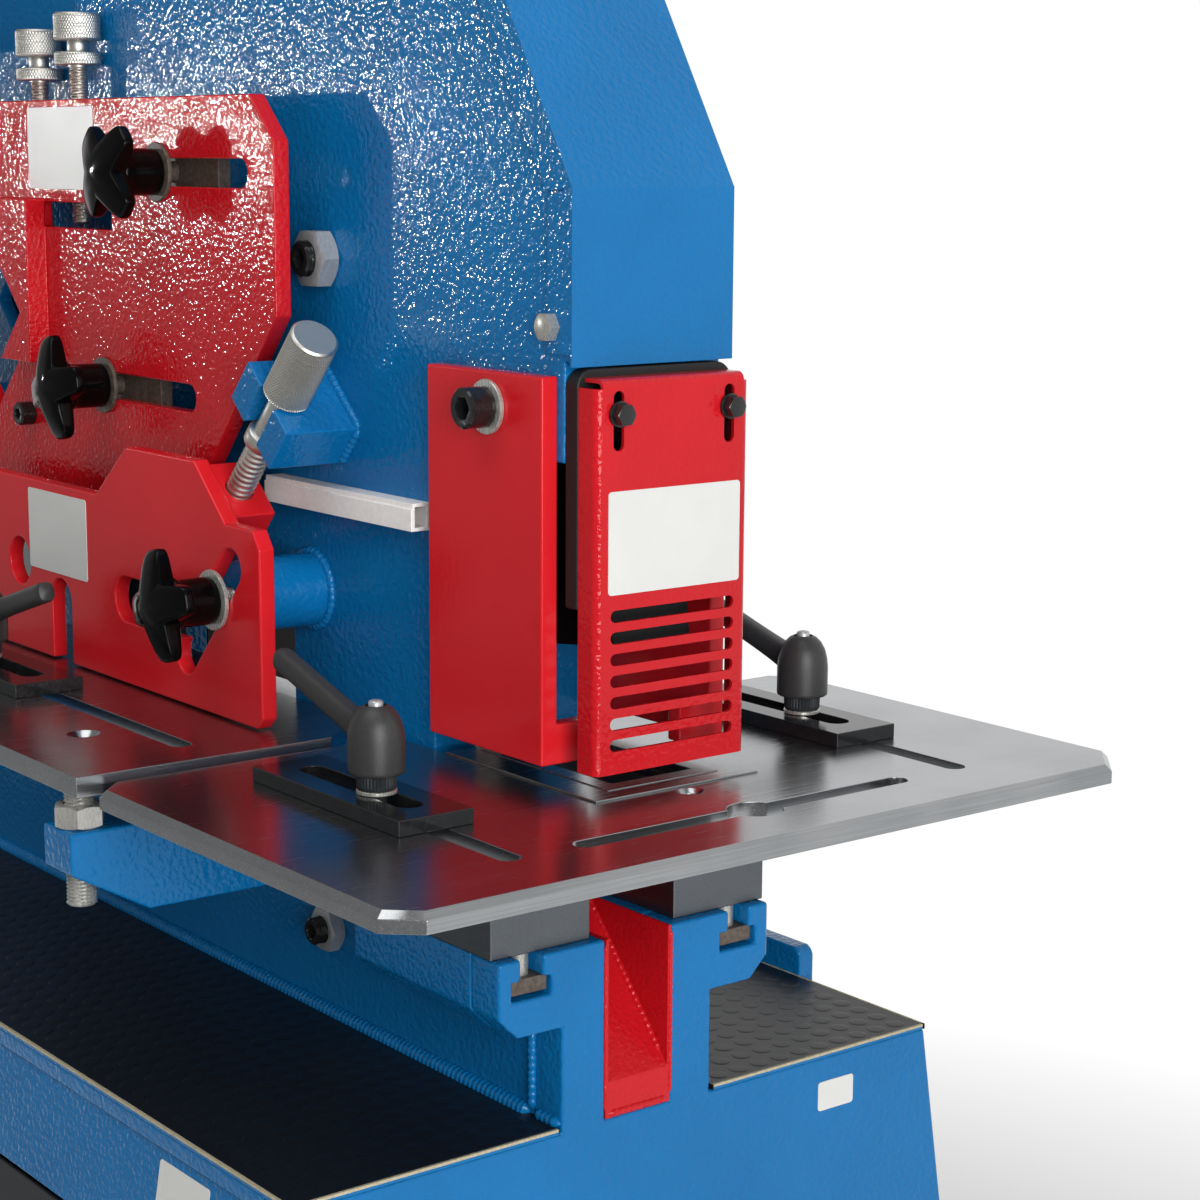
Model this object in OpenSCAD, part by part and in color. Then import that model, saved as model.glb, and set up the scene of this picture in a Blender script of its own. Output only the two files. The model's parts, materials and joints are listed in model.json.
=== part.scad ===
// Hydraulic ironworker: notcher at +X, flat and angle shears in the middle, punch at -X.
// Millimetres, +Z up, +X towards the notching table, -Y towards the operator.
// The origin is on the floor, in the middle of the four anchor holes.

/* [Base cabinet] */
// Length over the two end plates
base_l = 1060; // [1020:5:1120]
// Width of the cabinet at the floor
floor_w = 656; // [600:2:720]
// Width of the cabinet at the deck
deck_w = 426; // [400:2:460]
// Height of the top of the rubber mats
deck_h = 720; // [700:1:740]
// Thickness of the end plates
end_plate_t = 25; // [20:1:32]
// Thickness of the cabinet panels
panel_t = 4; // [3:0.5:6]
// Height of the deck's plain edge
deck_edge = 10; // [8:1:14]
// Thickness of the rubber mats
mat_t = 3; // [2:0.5:5]
// Thickness of the floor plate
floor_t = 12; // [10:1:16]
// Length of the floor plate beyond each end plate
foot_out = 45; // [40:1:60]
// Distance of the anchor holes from the sides of the floor plate
anchor_in = 48; // [40:1:60]
// Diameter of the anchor holes
anchor_d = 18; // [14:1:22]
// Width of the cabinet door
door_w = 560; // [480:5:600]
// Distance from the door's lower edge down to the floor plate
door_low = 120.3; // [100:0.1:140]
// Distance from the deck down to the top of the door
door_drop = 74; // [70:1:90]

/* [Body] */
// Height of the notching table's top above the mats
table_up = 180; // [170:1:200]
// Thickness of each frame plate
plate_t = 28; // [24:1:32]
// Gap between the two frame plates
plate_gap = 44; // [42:0.5:48]
// Height of the body above the table
body_h = 598; // [580:1:640]
// Height of the end cover's fold above the table
fold_h = 299; // [285:1:315]
// Lean of the end cover above the fold, from upright
cover_lean = 31; // [27:0.5:35]
// Thickness of the sheet covers
cover_t = 1.5; // [1:0.25:2]
// Width of the cover's side flanges
cover_flange = 20; // [16:1:26]
// Top of the notcher's throat above the table
throat_top = 165; // [155:1:175]
// Depth of the notcher's throat from the end plane
throat_l = 115; // [105:1:120]

/* [T-slot rails] */
// Distance from the table top down to the rails
rail_drop = 84; // [78:1:92]
// Width of each rail arm beyond the body
rail_w = 40; // [38:1:46]
// Height of the rail arms
rail_h = 42; // [38:1:48]
// Length of the rails behind the end plate
rail_l = 110; // [100:1:120]
// Width of the T-slot's mouth
slot_mouth = 14; // [12:1:16]
// Width of the T-slot's base
slot_base = 25; // [22:1:27]
// Depth of the T-slot's lip
slot_lip = 12; // [10:1:14]
// Total depth of the T-slot
slot_depth = 22; // [20:1:24]

/* [Notching table] */
// Width of the table
table_w = 474; // [450:2:500]
// Length of the table
table_l = 284.5; // [270:0.5:300]
// Reach of the table beyond the end plane
table_out = 131.5; // [120:0.5:140]
// Thickness of the table plate
table_t = 10; // [8:1:12]
// Bevel on the table's top edge
table_bevel = 3.5; // [2:0.5:5]
// Length of the table's cut corners
table_corner = 24; // [16:1:32]
// Width of the table's slots
table_slot = 12; // [11.5:0.5:14]
// Distance of the stop slots from the middle plane
stop_y = 144; // [136:1:152]
// Length of the notching die
die_l = 131; // [124:1:138]
// Width of the notching die
die_w = 106; // [100:1:112]
// Width of the notch
notch_w = 50; // [46:1:52]
// Length of the notching punch
notch_l = 100; // [92:1:102]

/* [Stops and levers] */
// Length of a stop bar
bar_l = 135; // [120:1:150]
// Width of a stop bar
bar_w = 43; // [38:1:48]
// Thickness of a stop bar
bar_t = 8; // [6:1:10]
// Diameter of a clamp lever's stud
lever_stud = 10; // [8:1:10]
// Length of a clamp lever's arm
lever_arm = 92; // [80:1:100]

/* [Guards] */
// Thickness of the side guards
guard_t = 10; // [8:1:12]
// Length of the side guards
guard_l = 100; // [94:1:106]
// Width of the end guard
end_guard_w = 98; // [92:1:102]
// Sheet thickness of the end guard
end_guard_t = 2; // [1.5:0.5:3]
// Thickness of the rubber skirt
skirt_t = 10; // [8:1:12]
// Number of vent slots in the end guard
vent_count = 7; // [5:1:7]
// Distance between vent slots
vent_pitch = 10.9; // [10:0.1:11.5]

/* [Beam and shears] */
// Stroke of the beam in degrees
swing = 7; // [6:0.5:8]
// Pivot of the beam, from the machine's middle
pivot_x = -90; // [-100:1:-80]
// Height of the pivot above the table
pivot_h = 35; // [30:1:40]
// Diameter of the pivot pin
pivot_d = 60; // [50:1:70]
// Thickness of the beam
beam_t = 42; // [38:0.5:42]
// Length of the flat shear blades
blade_l = 275; // [250:1:290]
// Height of the flat shear blades
blade_h = 62; // [55:1:66]
// Side of the square opening of the angle shear
angle_side = 90; // [80:1:96]
// Distance from the pivot to the pull rod's pin
pull_x = 465; // [455:1:470]
// Diameter of the pull rod
pull_d = 36; // [30:1:40]

/* [Shear table and hold-down] */
// Height of the shear table's top above the notching table's
shear_up = 3; // [2:0.5:3.5]
// Thickness of the shear table
shear_t = 11; // [10:0.5:13]
// Length of the shear table
shear_l = 390; // [370:1:400]
// Reach of the shear table in front of the middle plane
shear_out = 240; // [230:1:245]
// Thickness of the hold-down plates
hold_t = 10; // [8:1:12]
// Distance of the lower hold-down's back face from the middle plane
hold_y = 104; // [102:0.5:108]
// Distance between the two hold-down plates
hold_gap = 18; // [16:1:20]
// Tilt of the clamp screw from upright
clamp_tilt = 42.8; // [41:0.1:45]
// Diameter of the clamp screw's thread
clamp_d = 16; // [14:1:16]
// Diameter of the star knobs
knob_d = 63; // [58:1:66]
// Diameter of the knob studs
stud_d = 12; // [10:1:12]

/* [Punch station] */
// Distance of the punch from the machine's middle
punch_x = 450; // [440:1:455]
// Depth of the punch throat behind the punch
punch_throat = 140; // [130:1:145]
// Diameter of the punch ram
ram_d = 70; // [60:1:74]
// Stroke of the punch ram
ram_stroke = 45; // [40:1:48]
// Diameter of the punch
punch_d = 22; // [16:1:24]

/* [Hidden] */
$fn = 48;
run = 0.05;
free = 0.3;
blue = "#1766AD";
red = "#C01A25";
steel = "#7D8083";
zinc = "#C9CBC8";
black = "#161618";
graphite = "#34373A";

// Heights and planes that the pieces share
zt = deck_h + table_up;
deck_z = deck_h - mat_t;
flare = atan((floor_w - deck_w) / 2 / (deck_z - floor_t));
door_h = (deck_z - floor_t) / cos(flare) - door_drop - door_low;
yb = plate_gap / 2 + plate_t;
xe = base_l / 2;
inner_x = xe - end_plate_t;
rail_z = zt - rail_drop;
top_z = zt + body_h;
fold_z = zt + fold_h;
cover_x = xe + 8;
plate_x = cover_x - cover_t;
throat_x = xe - throat_l;
jaw_z = zt + throat_top;
skirt_top = zt + 212;
cover_low = skirt_top + 1;
lean = tan(cover_lean);
top_x = plate_x - (top_z - fold_z) * lean;
body_low = zt - 250;
table_x1 = xe + table_out;
table_x0 = table_x1 - table_l;
die_x1 = xe + 31;
die_x0 = die_x1 - die_l;
punch_x1 = xe + 8;
punch_x0 = punch_x1 - notch_l;
slot_y = yb + rail_w / 2 - 1;
pivot_z = zt + pivot_h;
beam_y = beam_t / 2;
blade_x1 = pivot_x + 359.5;
blade_x0 = blade_x1 - blade_l;
angle_x = pivot_x + 45;
angle_z = zt + 215;
pull_r = pull_x / cos(swing / 2);
pull_h = pull_r * sin(swing / 2);
shear_z = zt + shear_up;
shear_x1 = table_x0 - 5;
shear_x0 = shear_x1 - shear_l;
hold_front = hold_y + hold_t;
upper_front = hold_y - hold_gap;
upper_back = upper_front - hold_t;
clamp_dir = [sin(clamp_tilt), 0, cos(clamp_tilt)];
clamp_at = [272, -(hold_y - 19), zt + 128];
knob_low = [292, zt + 70];
knob_mid = [112, zt + 175];
knob_top = [187, zt + 304];
px = -punch_x;
head_x0 = px - 60;
head_x1 = px + 60;
throat_px = px + punch_throat;
punch_low = zt - 40;
punch_high = zt + 180;
die_top = zt + 22;
stop_front_x = 488;
stop_rear_x = 480;
stop_shear_x = 92;
stop_shear_y = -162;

// An outline in X and Z, carried from y0 to y1
module slab_y(y0, y1) {
  translate([0, y1, 0]) rotate([90, 0, 0]) linear_extrude(y1 - y0) children();
}

// An outline in Y and Z, carried from x0 to x1
module slab_x(x0, x1) {
  translate([x0, 0, 0]) rotate([90, 0, 90]) linear_extrude(x1 - x0) children();
}

// An outline in X and Y, carried from z0 to z1
module slab_z(z0, z1) {
  translate([0, 0, z0]) linear_extrude(z1 - z0) children();
}

// A block between two corners
module block(low, high) {
  translate(low) cube(high - low);
}

// Round bars along each axis
module rod_x(y, z, x0, x1, d) {
  translate([x0, y, z]) rotate([0, 90, 0]) cylinder(h = x1 - x0, d = d);
}

module rod_y(x, z, y0, y1, d) {
  translate([x, y1, z]) rotate([90, 0, 0]) cylinder(h = y1 - y0, d = d);
}

module rod_z(x, y, z0, z1, d) {
  translate([x, y, z0]) cylinder(h = z1 - z0, d = d);
}

// A slot outline with round ends between two points
module slot_2d(a, b, w) {
  len = norm(b - a);
  translate(a) circle(d = w);
  translate(b) circle(d = w);
  translate(a) rotate(atan2(b[1] - a[1], b[0] - a[0])) translate([0, -w / 2]) square([len, w]);
}

// A rectangle outline with round corners
module round_rect(low, high, r) {
  translate([low[0] + r, low[1]]) square([high[0] - low[0] - 2 * r, high[1] - low[1]]);
  translate([low[0], low[1] + r]) square([high[0] - low[0], high[1] - low[1] - 2 * r]);
  for (x = [low[0] + r, high[0] - r], y = [low[1] + r, high[1] - r])
    translate([x, y]) circle(r = r);
}

// A square outline standing on its corner
module diamond_2d(x, z, side) {
  translate([x, z]) rotate(45) square(side, center = true);
}

// The same piece on both sides of the middle plane
module both_sides() {
  children();
  mirror([0, 1, 0]) children();
}

// A hexagon prism along Y, measured over its flats
module hex_y(x, z, y0, y1, flats) {
  translate([x, y1, z]) rotate([90, 0, 0]) cylinder(h = y1 - y0, d = flats / cos(30), $fn = 6);
}

module hex_z(x, y, z0, z1, flats) {
  translate([x, y, z0]) cylinder(h = z1 - z0, d = flats / cos(30), $fn = 6);
}

// Base cabinet

// The end plate's outline below the deck
module end_outline() {
  polygon([[-floor_w / 2, floor_t], [floor_w / 2, floor_t], [deck_w / 2, deck_z], [-deck_w / 2, deck_z]]);
}

// One half of the T-slot rail's outline, from the body's face outwards
module rail_half() {
  chamfer = 12;
  out = yb + rail_w;
  low = rail_z - rail_h;
  difference() {
    polygon([[yb, low], [out - chamfer, low], [out, low + chamfer], [out, rail_z], [yb, rail_z]]);
    translate([slot_y - slot_mouth / 2, rail_z - slot_lip - 1]) square([slot_mouth, slot_lip + 2]);
    translate([slot_y - slot_base / 2, rail_z - slot_depth])
      square([slot_base, slot_depth - slot_lip]);
  }
}

module end_plates() {
  color(blue) {
    slab_x(inner_x, xe) {
      difference() {
        union() {
          end_outline();
          translate([-yb, deck_z - 1]) square([2 * yb, rail_z - deck_z + 1]);
          rail_half();
          mirror([1, 0]) rail_half();
        }
        translate([-plate_gap / 2, rail_z - 98]) square([plate_gap, 100]);
      }
    }
    slab_x(-xe, -inner_x) end_outline();
  }
}

// The frame of the sloping front panel: x along it, y inwards, z up the slope from the deck's edge
module on_front() {
  translate([0, -deck_w / 2, deck_z]) rotate([-flare, 0, 0]) children();
}

door_x0 = -260;
panel_set = 3;
door_gap = 3;
hinge_out = 7;
hinge_pin = 8;

module panel_outline() {
  low_out = floor_w / 2 - panel_set;
  high_out = deck_w / 2 - panel_set + deck_edge * tan(flare);
  high = deck_z - deck_edge;
  polygon([
    [-low_out, floor_t], [-low_out + panel_t, floor_t], [-high_out + panel_t, high], [-high_out, high]
  ]);
}

// Heights of the two door hinges, down the slope from the deck's edge
hinge_z = [-door_drop - 90, -door_drop - door_h + 90];

// A raised edge along the rear of the deck
module rear_lip() {
  x = xe - 108;
  y = deck_w / 2;
  top = deck_h + 17;
  low = deck_z - deck_edge;
  intersection() {
    slab_x(-x, x) polygon([
      [y - 2, low], [y + 12, low], [y + 12, top], [y + free, top], [y + free, deck_z], [y - 2, deck_z]
    ]);
    slab_y(y - 3, y + 13) polygon([
      [-x, low], [x, low], [x, top - 5], [x - 2, top - 2], [x - 5, top], [5 - x, top], [2 - x, top - 2], [-x, top - 5]
    ]);
  }
}

module cabinet_shell() {
  color(blue) {
    difference() {
      slab_x(-inner_x, inner_x) panel_outline();
      on_front() {
        block([door_x0 - door_gap, -30, -door_drop - door_h - door_gap],
          [door_x0 + door_w + door_gap, 60, -door_drop + door_gap]);
        for (z = hinge_z)
          block([door_x0 - door_gap - hinge_out - hinge_pin - 1, -30, z - 11.5], [door_x0, 60, z + 32.5]);
      }
    }
    mirror([0, 1, 0]) slab_x(-inner_x, inner_x) panel_outline();
    both_sides() block([-inner_x, yb, deck_z - deck_edge], [inner_x, deck_w / 2, deck_z]);
    rear_lip();
    on_front() for (z = hinge_z) {
      translate([door_x0 - door_gap - hinge_out, panel_set - hinge_out + 3, z - 32])
        cylinder(h = 64, d = hinge_pin);
      translate([door_x0 - door_gap - hinge_out, panel_set - hinge_out + 3, z - 32])
        cylinder(h = 20, d = hinge_pin + 7);
      block([door_x0 - door_gap - 40, panel_set - 3.5, z - 32],
        [door_x0 - door_gap - hinge_out, panel_set + 0.6, z - 12]);
    }
  }
}

module cabinet_door() {
  face = panel_set + 1;
  color(graphite) on_front() {
    difference() {
      block([door_x0, face, -door_drop - door_h], [door_x0 + door_w, face + 3, -door_drop]);
      latch_bore();
    }
    for (z = hinge_z) {
      difference() {
        union() {
          translate([door_x0 - door_gap - hinge_out, panel_set - hinge_out + 3, z - 11])
            cylinder(h = 43, d = hinge_pin + 7);
          block([door_x0 - door_gap - hinge_out, panel_set - hinge_out + 3 - 3.5, z - 11],
            [door_x0 + 40, face, z + 32]);
        }
        translate([door_x0 - door_gap - hinge_out, panel_set - hinge_out + 3, z - 20])
          cylinder(h = 60, d = hinge_pin + 2 * run);
        block([door_x0 - door_gap - hinge_out + 8, face - 12, z - 12], [door_x0 + 41, face - 4, z + 33]);
      }
    }
  }
}

latch_z = -door_drop - door_h / 2;
latch_d = 16;

module latch_bore() {
  translate([door_x0 + door_w - 45, 20, latch_z]) rotate([90, 0, 0]) cylinder(h = 60, d = latch_d + 2 * run);
}

// A quarter-turn latch: round spindle, T-grip outside, cam inside
module door_latch() {
  face = panel_set + 1;
  x = door_x0 + door_w - 45;
  color(zinc) on_front() {
    translate([x, face + 9, latch_z]) rotate([90, 0, 0]) cylinder(h = 25, d = latch_d);
    translate([x, face - free, latch_z]) rotate([90, 0, 0]) cylinder(h = 5, d = 30);
    block([x - 24, face - 22, latch_z - 6], [x + 24, face - 5, latch_z + 6]);
    block([x - 11, face + 3 + panel_t, latch_z - 54], [x + 11, face + 10, latch_z + 10]);
  }
}

module deck_mats() {
  color("#26282A") both_sides() difference() {
    block([-xe, yb, deck_z], [xe, deck_w / 2, deck_h]);
    block([inner_x, 0, deck_z - 1], [xe + 1, yb + 2, deck_h + 1]);
  }
}

module floor_plate() {
  color(blue) difference() {
    block([-xe - foot_out, -floor_w / 2, 0], [xe + foot_out, floor_w / 2, floor_t]);
    for (x = [-1, 1], y = [-1, 1])
      rod_z(x * (xe + foot_out / 2), y * (floor_w / 2 - anchor_in), -1, floor_t + 1, anchor_d);
  }
}

// Body

// The outline that both frame plates share
module frame_outline() {
  polygon([
    [-inner_x, body_low], [inner_x, body_low], [inner_x, rail_z], [throat_x, rail_z],
    [throat_x, jaw_z], [xe, jaw_z], [xe, skirt_top + 3], [plate_x, skirt_top + 3], [plate_x, fold_z],
    [top_x, top_z], [-260, top_z], [head_x1, top_z - 128], [head_x1, punch_high],
    [throat_px, punch_high], [throat_px, punch_low], [-inner_x, punch_low]
  ]);
}

shear_window_up = 75;
gib_at = [310, zt + 258];
set_at = [310, zt - 127];
gib_d = 20;
set_d = 16;
guard_bolt_y = 35.4;
guard_bolt_z = zt + 191;
guard_bolt_d = 6;
cover_bolt = [plate_x - 15.5, zt + 232];

module frame_holes() {
  for (y = [-1, 1]) rod_x(y * guard_bolt_y, guard_bolt_z, xe - 16, xe + 1, guard_bolt_d + 2 * run);
  rod_y(pivot_x, pivot_z, -yb - 1, yb + 1, bush_d);
  rod_y(cover_bolt[0], cover_bolt[1], -yb - 1, -yb + 12, 8.1);
  rod_y(cover_bolt[0], cover_bolt[1], yb - 12, yb + 1, 8.1);
}

bush_d = pivot_d + 16;
blade_seat = 0.5;

module front_frame_plate() {
  color(blue) difference() {
    slab_y(-yb, -plate_gap / 2) frame_outline();
    frame_holes();
    block([blade_x0 - blade_seat, -yb - 1, zt - blade_h], [blade_x1 + blade_seat, 0, zt + shear_window_up]);
    slab_y(-yb - 1, 0) diamond_2d(angle_x, angle_z, angle_side + 10);
    slab_y(-plate_gap / 2 - 18, 0) diamond_2d(angle_x, angle_z, angle_side + 60);
    rod_y(gib_at[0], gib_at[1], -yb - 1, 0, gib_d + 2 * run);
    rod_y(set_at[0], set_at[1], -yb - 1, 0, set_d + 2 * run);
    rod_y(guard_screw[0], guard_screw[1], -yb - 1, -yb + 18, guard_screw_d + 2 * run);
  }
}

module rear_frame_plate() {
  color(blue) difference() {
    slab_y(plate_gap / 2, yb) frame_outline();
    frame_holes();
    block([blade_x0 - 8, 0, zt - blade_h], [blade_x1 + 8, yb + 1, zt + shear_window_up]);
    slab_y(0, yb + 1) diamond_2d(angle_x, angle_z, angle_side + 50);
    rod_y(guard_screw[0], guard_screw[1], yb - 18, yb + 1, guard_screw_d + 2 * run);
  }
}

// Tie blocks between the plates, and bars across the cabinet under them
module frame_spacers() {
  half = plate_gap / 2;
  color(graphite) {
    block([-inner_x, -half, body_low], [px - 22, half, zt - 60]);
    block([px + 22, -half, body_low], [throat_px - 10, half, zt - 60]);
    block([throat_px - 10, -half, body_low], [pivot_x + 380, half, body_low + 50]);
    block([set_at[0] - 25, -half, body_low + 50], [set_at[0] + 25, half, set_at[1] + 27]);
    block([throat_px, -half, punch_low], [throat_px + 14, half, punch_high]);
    block([head_x1, -half, punch_high + 20], [head_x1 + 60, half, top_z - 140]);
    block([-240, -half, top_z - 58], [top_x - 16, half, top_z]);
  }
}

module cross_bars() {
  half = deck_w / 2 - panel_set - panel_t + (deck_z - body_low) * tan(flare) - free;
  color(graphite) for (x = [px + 70, pivot_x + 110])
    block([x - 25, -half, body_low - 40], [x + 25, half, body_low]);
}

// The slide that carries cut pieces out behind the flat shear
module rear_chute() {
  wall = 3;
  low = zt - blade_h;
  out = yb + 150;
  x0 = blade_x0 - 8;
  x1 = blade_x1 + 8;
  color(graphite) {
    for (x = [x0 - wall, x1]) slab_x(x, x + wall)
      polygon([[yb, low - wall], [yb, low + 92], [out, low + 42], [out, low - 68]]);
    slab_x(x0, x1) polygon([[yb, low - wall], [yb, low], [out, low - 65], [out, low - 68]]);
  }
}

module t_slot_rails() {
  color(blue) slab_x(inner_x - rail_l, inner_x) {
    rail_half();
    mirror([1, 0]) rail_half();
  }
}

// The sheet over the notcher end: upright face, leaning face and two side flanges
module end_cover() {
  flange_low = cover_low + 6;
  in = cover_flange;
  color(blue) {
    slab_y(-yb - cover_t, yb + cover_t) polygon([
      [plate_x, cover_low], [cover_x, cover_low], [cover_x, fold_z + cover_t * lean / 2],
      [top_x + cover_t, top_z], [top_x, top_z], [plate_x, fold_z]
    ]);
    both_sides() difference() {
      slab_y(yb, yb + cover_t) polygon([
        [plate_x - in + cover_t, flange_low], [plate_x, flange_low], [plate_x, fold_z], [top_x, top_z],
        [top_x - in / cos(cover_lean), top_z], [plate_x - in + cover_t, fold_z - 4]
      ]);
      slab_y(yb - 1, yb + cover_t + 1)
        polygon([[plate_x - in, fold_z - 4], [plate_x - 1, fold_z], [plate_x - in, fold_z - 1]]);
      rod_y(cover_bolt[0], cover_bolt[1], yb - 1, yb + cover_t + 1, 8.4);
    }
  }
}

module top_cover() {
  color(blue) {
    slab_y(-yb - cover_t, yb + cover_t)
      polygon([[top_x + cover_t, top_z], [top_x + cover_t, top_z + cover_t],
        [-260, top_z + cover_t], [-260, top_z]]);
    slab_y(-yb - cover_t, yb + cover_t) polygon([
      [-260, top_z], [-260, top_z + cover_t], [head_x1 - cover_t, top_z - 128], [head_x1, top_z - 128]
    ]);
    both_sides() slab_y(yb, yb + cover_t) polygon([
      [top_x - 40, top_z], [-260, top_z], [head_x1, top_z - 128], [head_x1, top_z - 128 - 30],
      [-252, top_z - cover_flange], [top_x - 40, top_z - cover_flange]
    ]);
  }
}

// Side guard screws
guard_screw = [xe - 50, zt + 190];
guard_screw_d = 14;

// A socket head along Y with its hexagon socket, the head's outer end at y0
module socket_head(x, z, y0, len, d, socket) {
  difference() {
    rod_y(x, z, y0, y0 + len, d);
    hex_y(x, z, y0 - 1, y0 + len * 0.5, socket);
  }
}

module black_screws() {
  out = yb + guard_t + 2.5;
  color(black) {
    both_sides() {
      socket_head(guard_screw[0], guard_screw[1], -out - 14, 14, 21, 11);
      rod_y(guard_screw[0], guard_screw[1], -out, -yb + 17, guard_screw_d);
    }
    difference() {
      rod_y(gib_at[0], gib_at[1], -yb - 17, -beam_y - 0.7 - free, gib_d);
      hex_y(gib_at[0], gib_at[1], -yb - 18, -yb - 8, 10);
    }
    difference() {
      rod_y(set_at[0], set_at[1], -yb - 16, -plate_gap / 2, set_d);
      hex_y(set_at[0], set_at[1], -yb - 17, -yb - 8, 8);
    }
    socket_head(hold_screw[0], hold_screw[1], -upper_front - 10, 10, 15, 7);
    rod_y(hold_screw[0], hold_screw[1], -upper_front - 0.5, -upper_back + 14, hold_screw_d);
    for (y = [-1, 1]) {
      rod_x(y * guard_bolt_y, guard_bolt_z, xe - 15, guard_face, guard_bolt_d);
      rod_x(y * guard_bolt_y, guard_bolt_z, guard_face + 0.1, guard_face + 2, 13);
      translate([guard_face + 2, y * guard_bolt_y, guard_bolt_z]) rotate([0, 90, 0])
        cylinder(h = 5, d = 10 / cos(30), $fn = 6);
    }
  }
}

// Bright nuts, bolts and washers
module zinc_fasteners() {
  color(zinc) {
    difference() {
      union() {
        hex_y(gib_at[0], gib_at[1], -yb - 12, -yb, 30);
        hex_y(set_at[0], set_at[1], -yb - 9, -yb, 24);
      }
      rod_y(gib_at[0], gib_at[1], -yb - 30, -yb + 1, gib_d + 2 * run);
      rod_y(set_at[0], set_at[1], -yb - 30, -yb + 1, set_d + 2 * run);
    }
    both_sides() {
      rod_y(cover_bolt[0], cover_bolt[1], -yb - cover_t, -yb + 11, 8);
      hex_y(cover_bolt[0], cover_bolt[1], -yb - cover_t - 5.5, -yb - cover_t, 13);
      difference() {
        rod_y(guard_screw[0], guard_screw[1], -yb - guard_t - 2.5, -yb - guard_t, 28);
        rod_y(guard_screw[0], guard_screw[1], -yb - guard_t - 3, -yb, guard_screw_d + 0.6);
      }
    }
    for (x = arm_x) levelling_screw(x + arm_w / 2);
    rod_y(knob_low[0], knob_low[1], -hold_front - 28, -yb - 14, stud_d);
    difference() {
      rod_y(knob_low[0], knob_low[1], -hold_front - 2.6, -hold_front - 0.1, 34);
      rod_y(knob_low[0], knob_low[1], -hold_front - 3, -hold_front, stud_d + 0.4);
    }
    both_sides() for (x = [inner_x - 40, xe - 14]) tee_bolt(x);
  }
}

module levelling_screw(x) {
  y = 10 - shear_out;
  rod_z(x, y, arm_top - 42, shear_z - shear_t, 16);
  difference() {
    hex_z(x, y, arm_top, arm_top + 12, 24);
    rod_z(x, y, arm_top - 1, arm_top + 13, 16);
  }
}

// A T-bolt that holds a table block down
module tee_bolt(x) {
  low = rail_z - slot_depth;
  half = slot_base / 2 - 1;
  high = rail_z - slot_lip;
  block([x - 10, slot_y - half, high - 8], [x + 10, slot_y + half, high]);
  rod_z(x, slot_y, low + 4, rail_z + 24, slot_mouth - 2);
}

module pivot_bushes() {
  color("#B58A3C") both_sides() difference() {
    rod_y(pivot_x, pivot_z, -yb, -plate_gap / 2, bush_d);
    rod_y(pivot_x, pivot_z, -yb - 1, 0, pivot_d + 2 * run);
  }
}

// Beam, its pins, blades and punch, drawn at the end of the stroke and raised to rest
module raised() {
  translate([pivot_x, 0, pivot_z]) rotate([0, -swing, 0]) children();
}

module beam_outline() {
  nose_x = punch_x1 - 8 - pivot_x;
  nose_z = 70 - pivot_h;
  low = 2 - pivot_h;
  polygon([
    [-100, -70], [90, -70], [96, low], [pull_x - 36, low], [pull_x - 36, -pull_h - 34],
    [pull_x + 36, -pull_h - 34], [pull_x + 40, nose_z], [nose_x, nose_z], [nose_x, nose_z + 80],
    [nose_x - 75, nose_z + 160], [pull_x - 80, 260], [pull_x - 105, 305], [-60, 305], [-170, 200], [-170, 40]
  ]);
}

module beam() {
  color(graphite) difference() {
    raised() difference() {
      slab_y(-beam_y, beam_y) beam_outline();
      rod_y(0, 0, -beam_y - 1, beam_y + 1, pivot_d);
      block([blade_x0 - pivot_x - free, -beam_y - 1, -80],
        [blade_x1 - pivot_x + free, -beam_y + 20, blade_h - pivot_h - 3]);
      rod_y(pull_x, -pull_h, -beam_y - 1, beam_y + 1, 30);
      block([pull_x - 37, -10.5, -pull_h - 60], [pull_x + 37, 10.5, -pull_h + 36]);
    }
    slab_y(-beam_y - 1, beam_y + 1) diamond_2d(angle_x, angle_z, angle_side + 6);
    slab_y(-beam_y - 1, -beam_y + 16) diamond_2d(angle_x, angle_z, angle_side + 50);
  }
}

module beam_pins() {
  color(steel) raised() {
    rod_y(0, 0, -yb - 6, yb + 6, pivot_d);
    rod_y(pull_x, -pull_h, -beam_y, beam_y, 30);
  }
}

module moving_blades() {
  proud = 0.7;
  color(steel) {
    raised() block([blade_x0 - pivot_x, -beam_y - proud, -3 - pivot_h],
      [blade_x1 - pivot_x, -beam_y + 20, blade_h - pivot_h - 3]);
    slab_y(-beam_y - proud, -beam_y + 16) difference() {
      diamond_2d(angle_x, angle_z, angle_side + 50);
      diamond_2d(angle_x, angle_z, angle_side);
    }
  }
}

module notch_punch() {
  color(steel) raised() block([punch_x0 - pivot_x, -notch_w / 2, -5 - pivot_h],
    [punch_x1 - pivot_x, notch_w / 2, 70 - pivot_h]);
}

// Pull cylinder under the frame and its rod
module shear_cylinder() {
  x = pivot_x + pull_x;
  top = body_low;
  color(graphite) difference() {
    union() {
      block([x - 75, -75, top - 30], [x + 75, 75, top]);
      rod_z(x, 0, top - 260, top - 30, 116);
    }
    rod_z(x, 0, top - 40, top + 1, pull_d + 2 * run);
    rod_z(x, 0, top - 240, top - 36, 92);
  }
}

module pull_rod() {
  x = pivot_x + pull_x;
  z = pivot_z + pull_h;
  color(zinc) {
    difference() {
      union() {
        rod_y(x, z, -10, 10, 62);
        block([x - 17, -10, z - 64], [x + 17, 10, z]);
      }
      rod_y(x, z, -11, 11, 32.4);
    }
    rod_z(x, 0, body_low - 90, z - 62, pull_d);
    rod_z(x, 0, body_low - 114, body_low - 90, 92 - 4 * run);
  }
}

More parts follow.
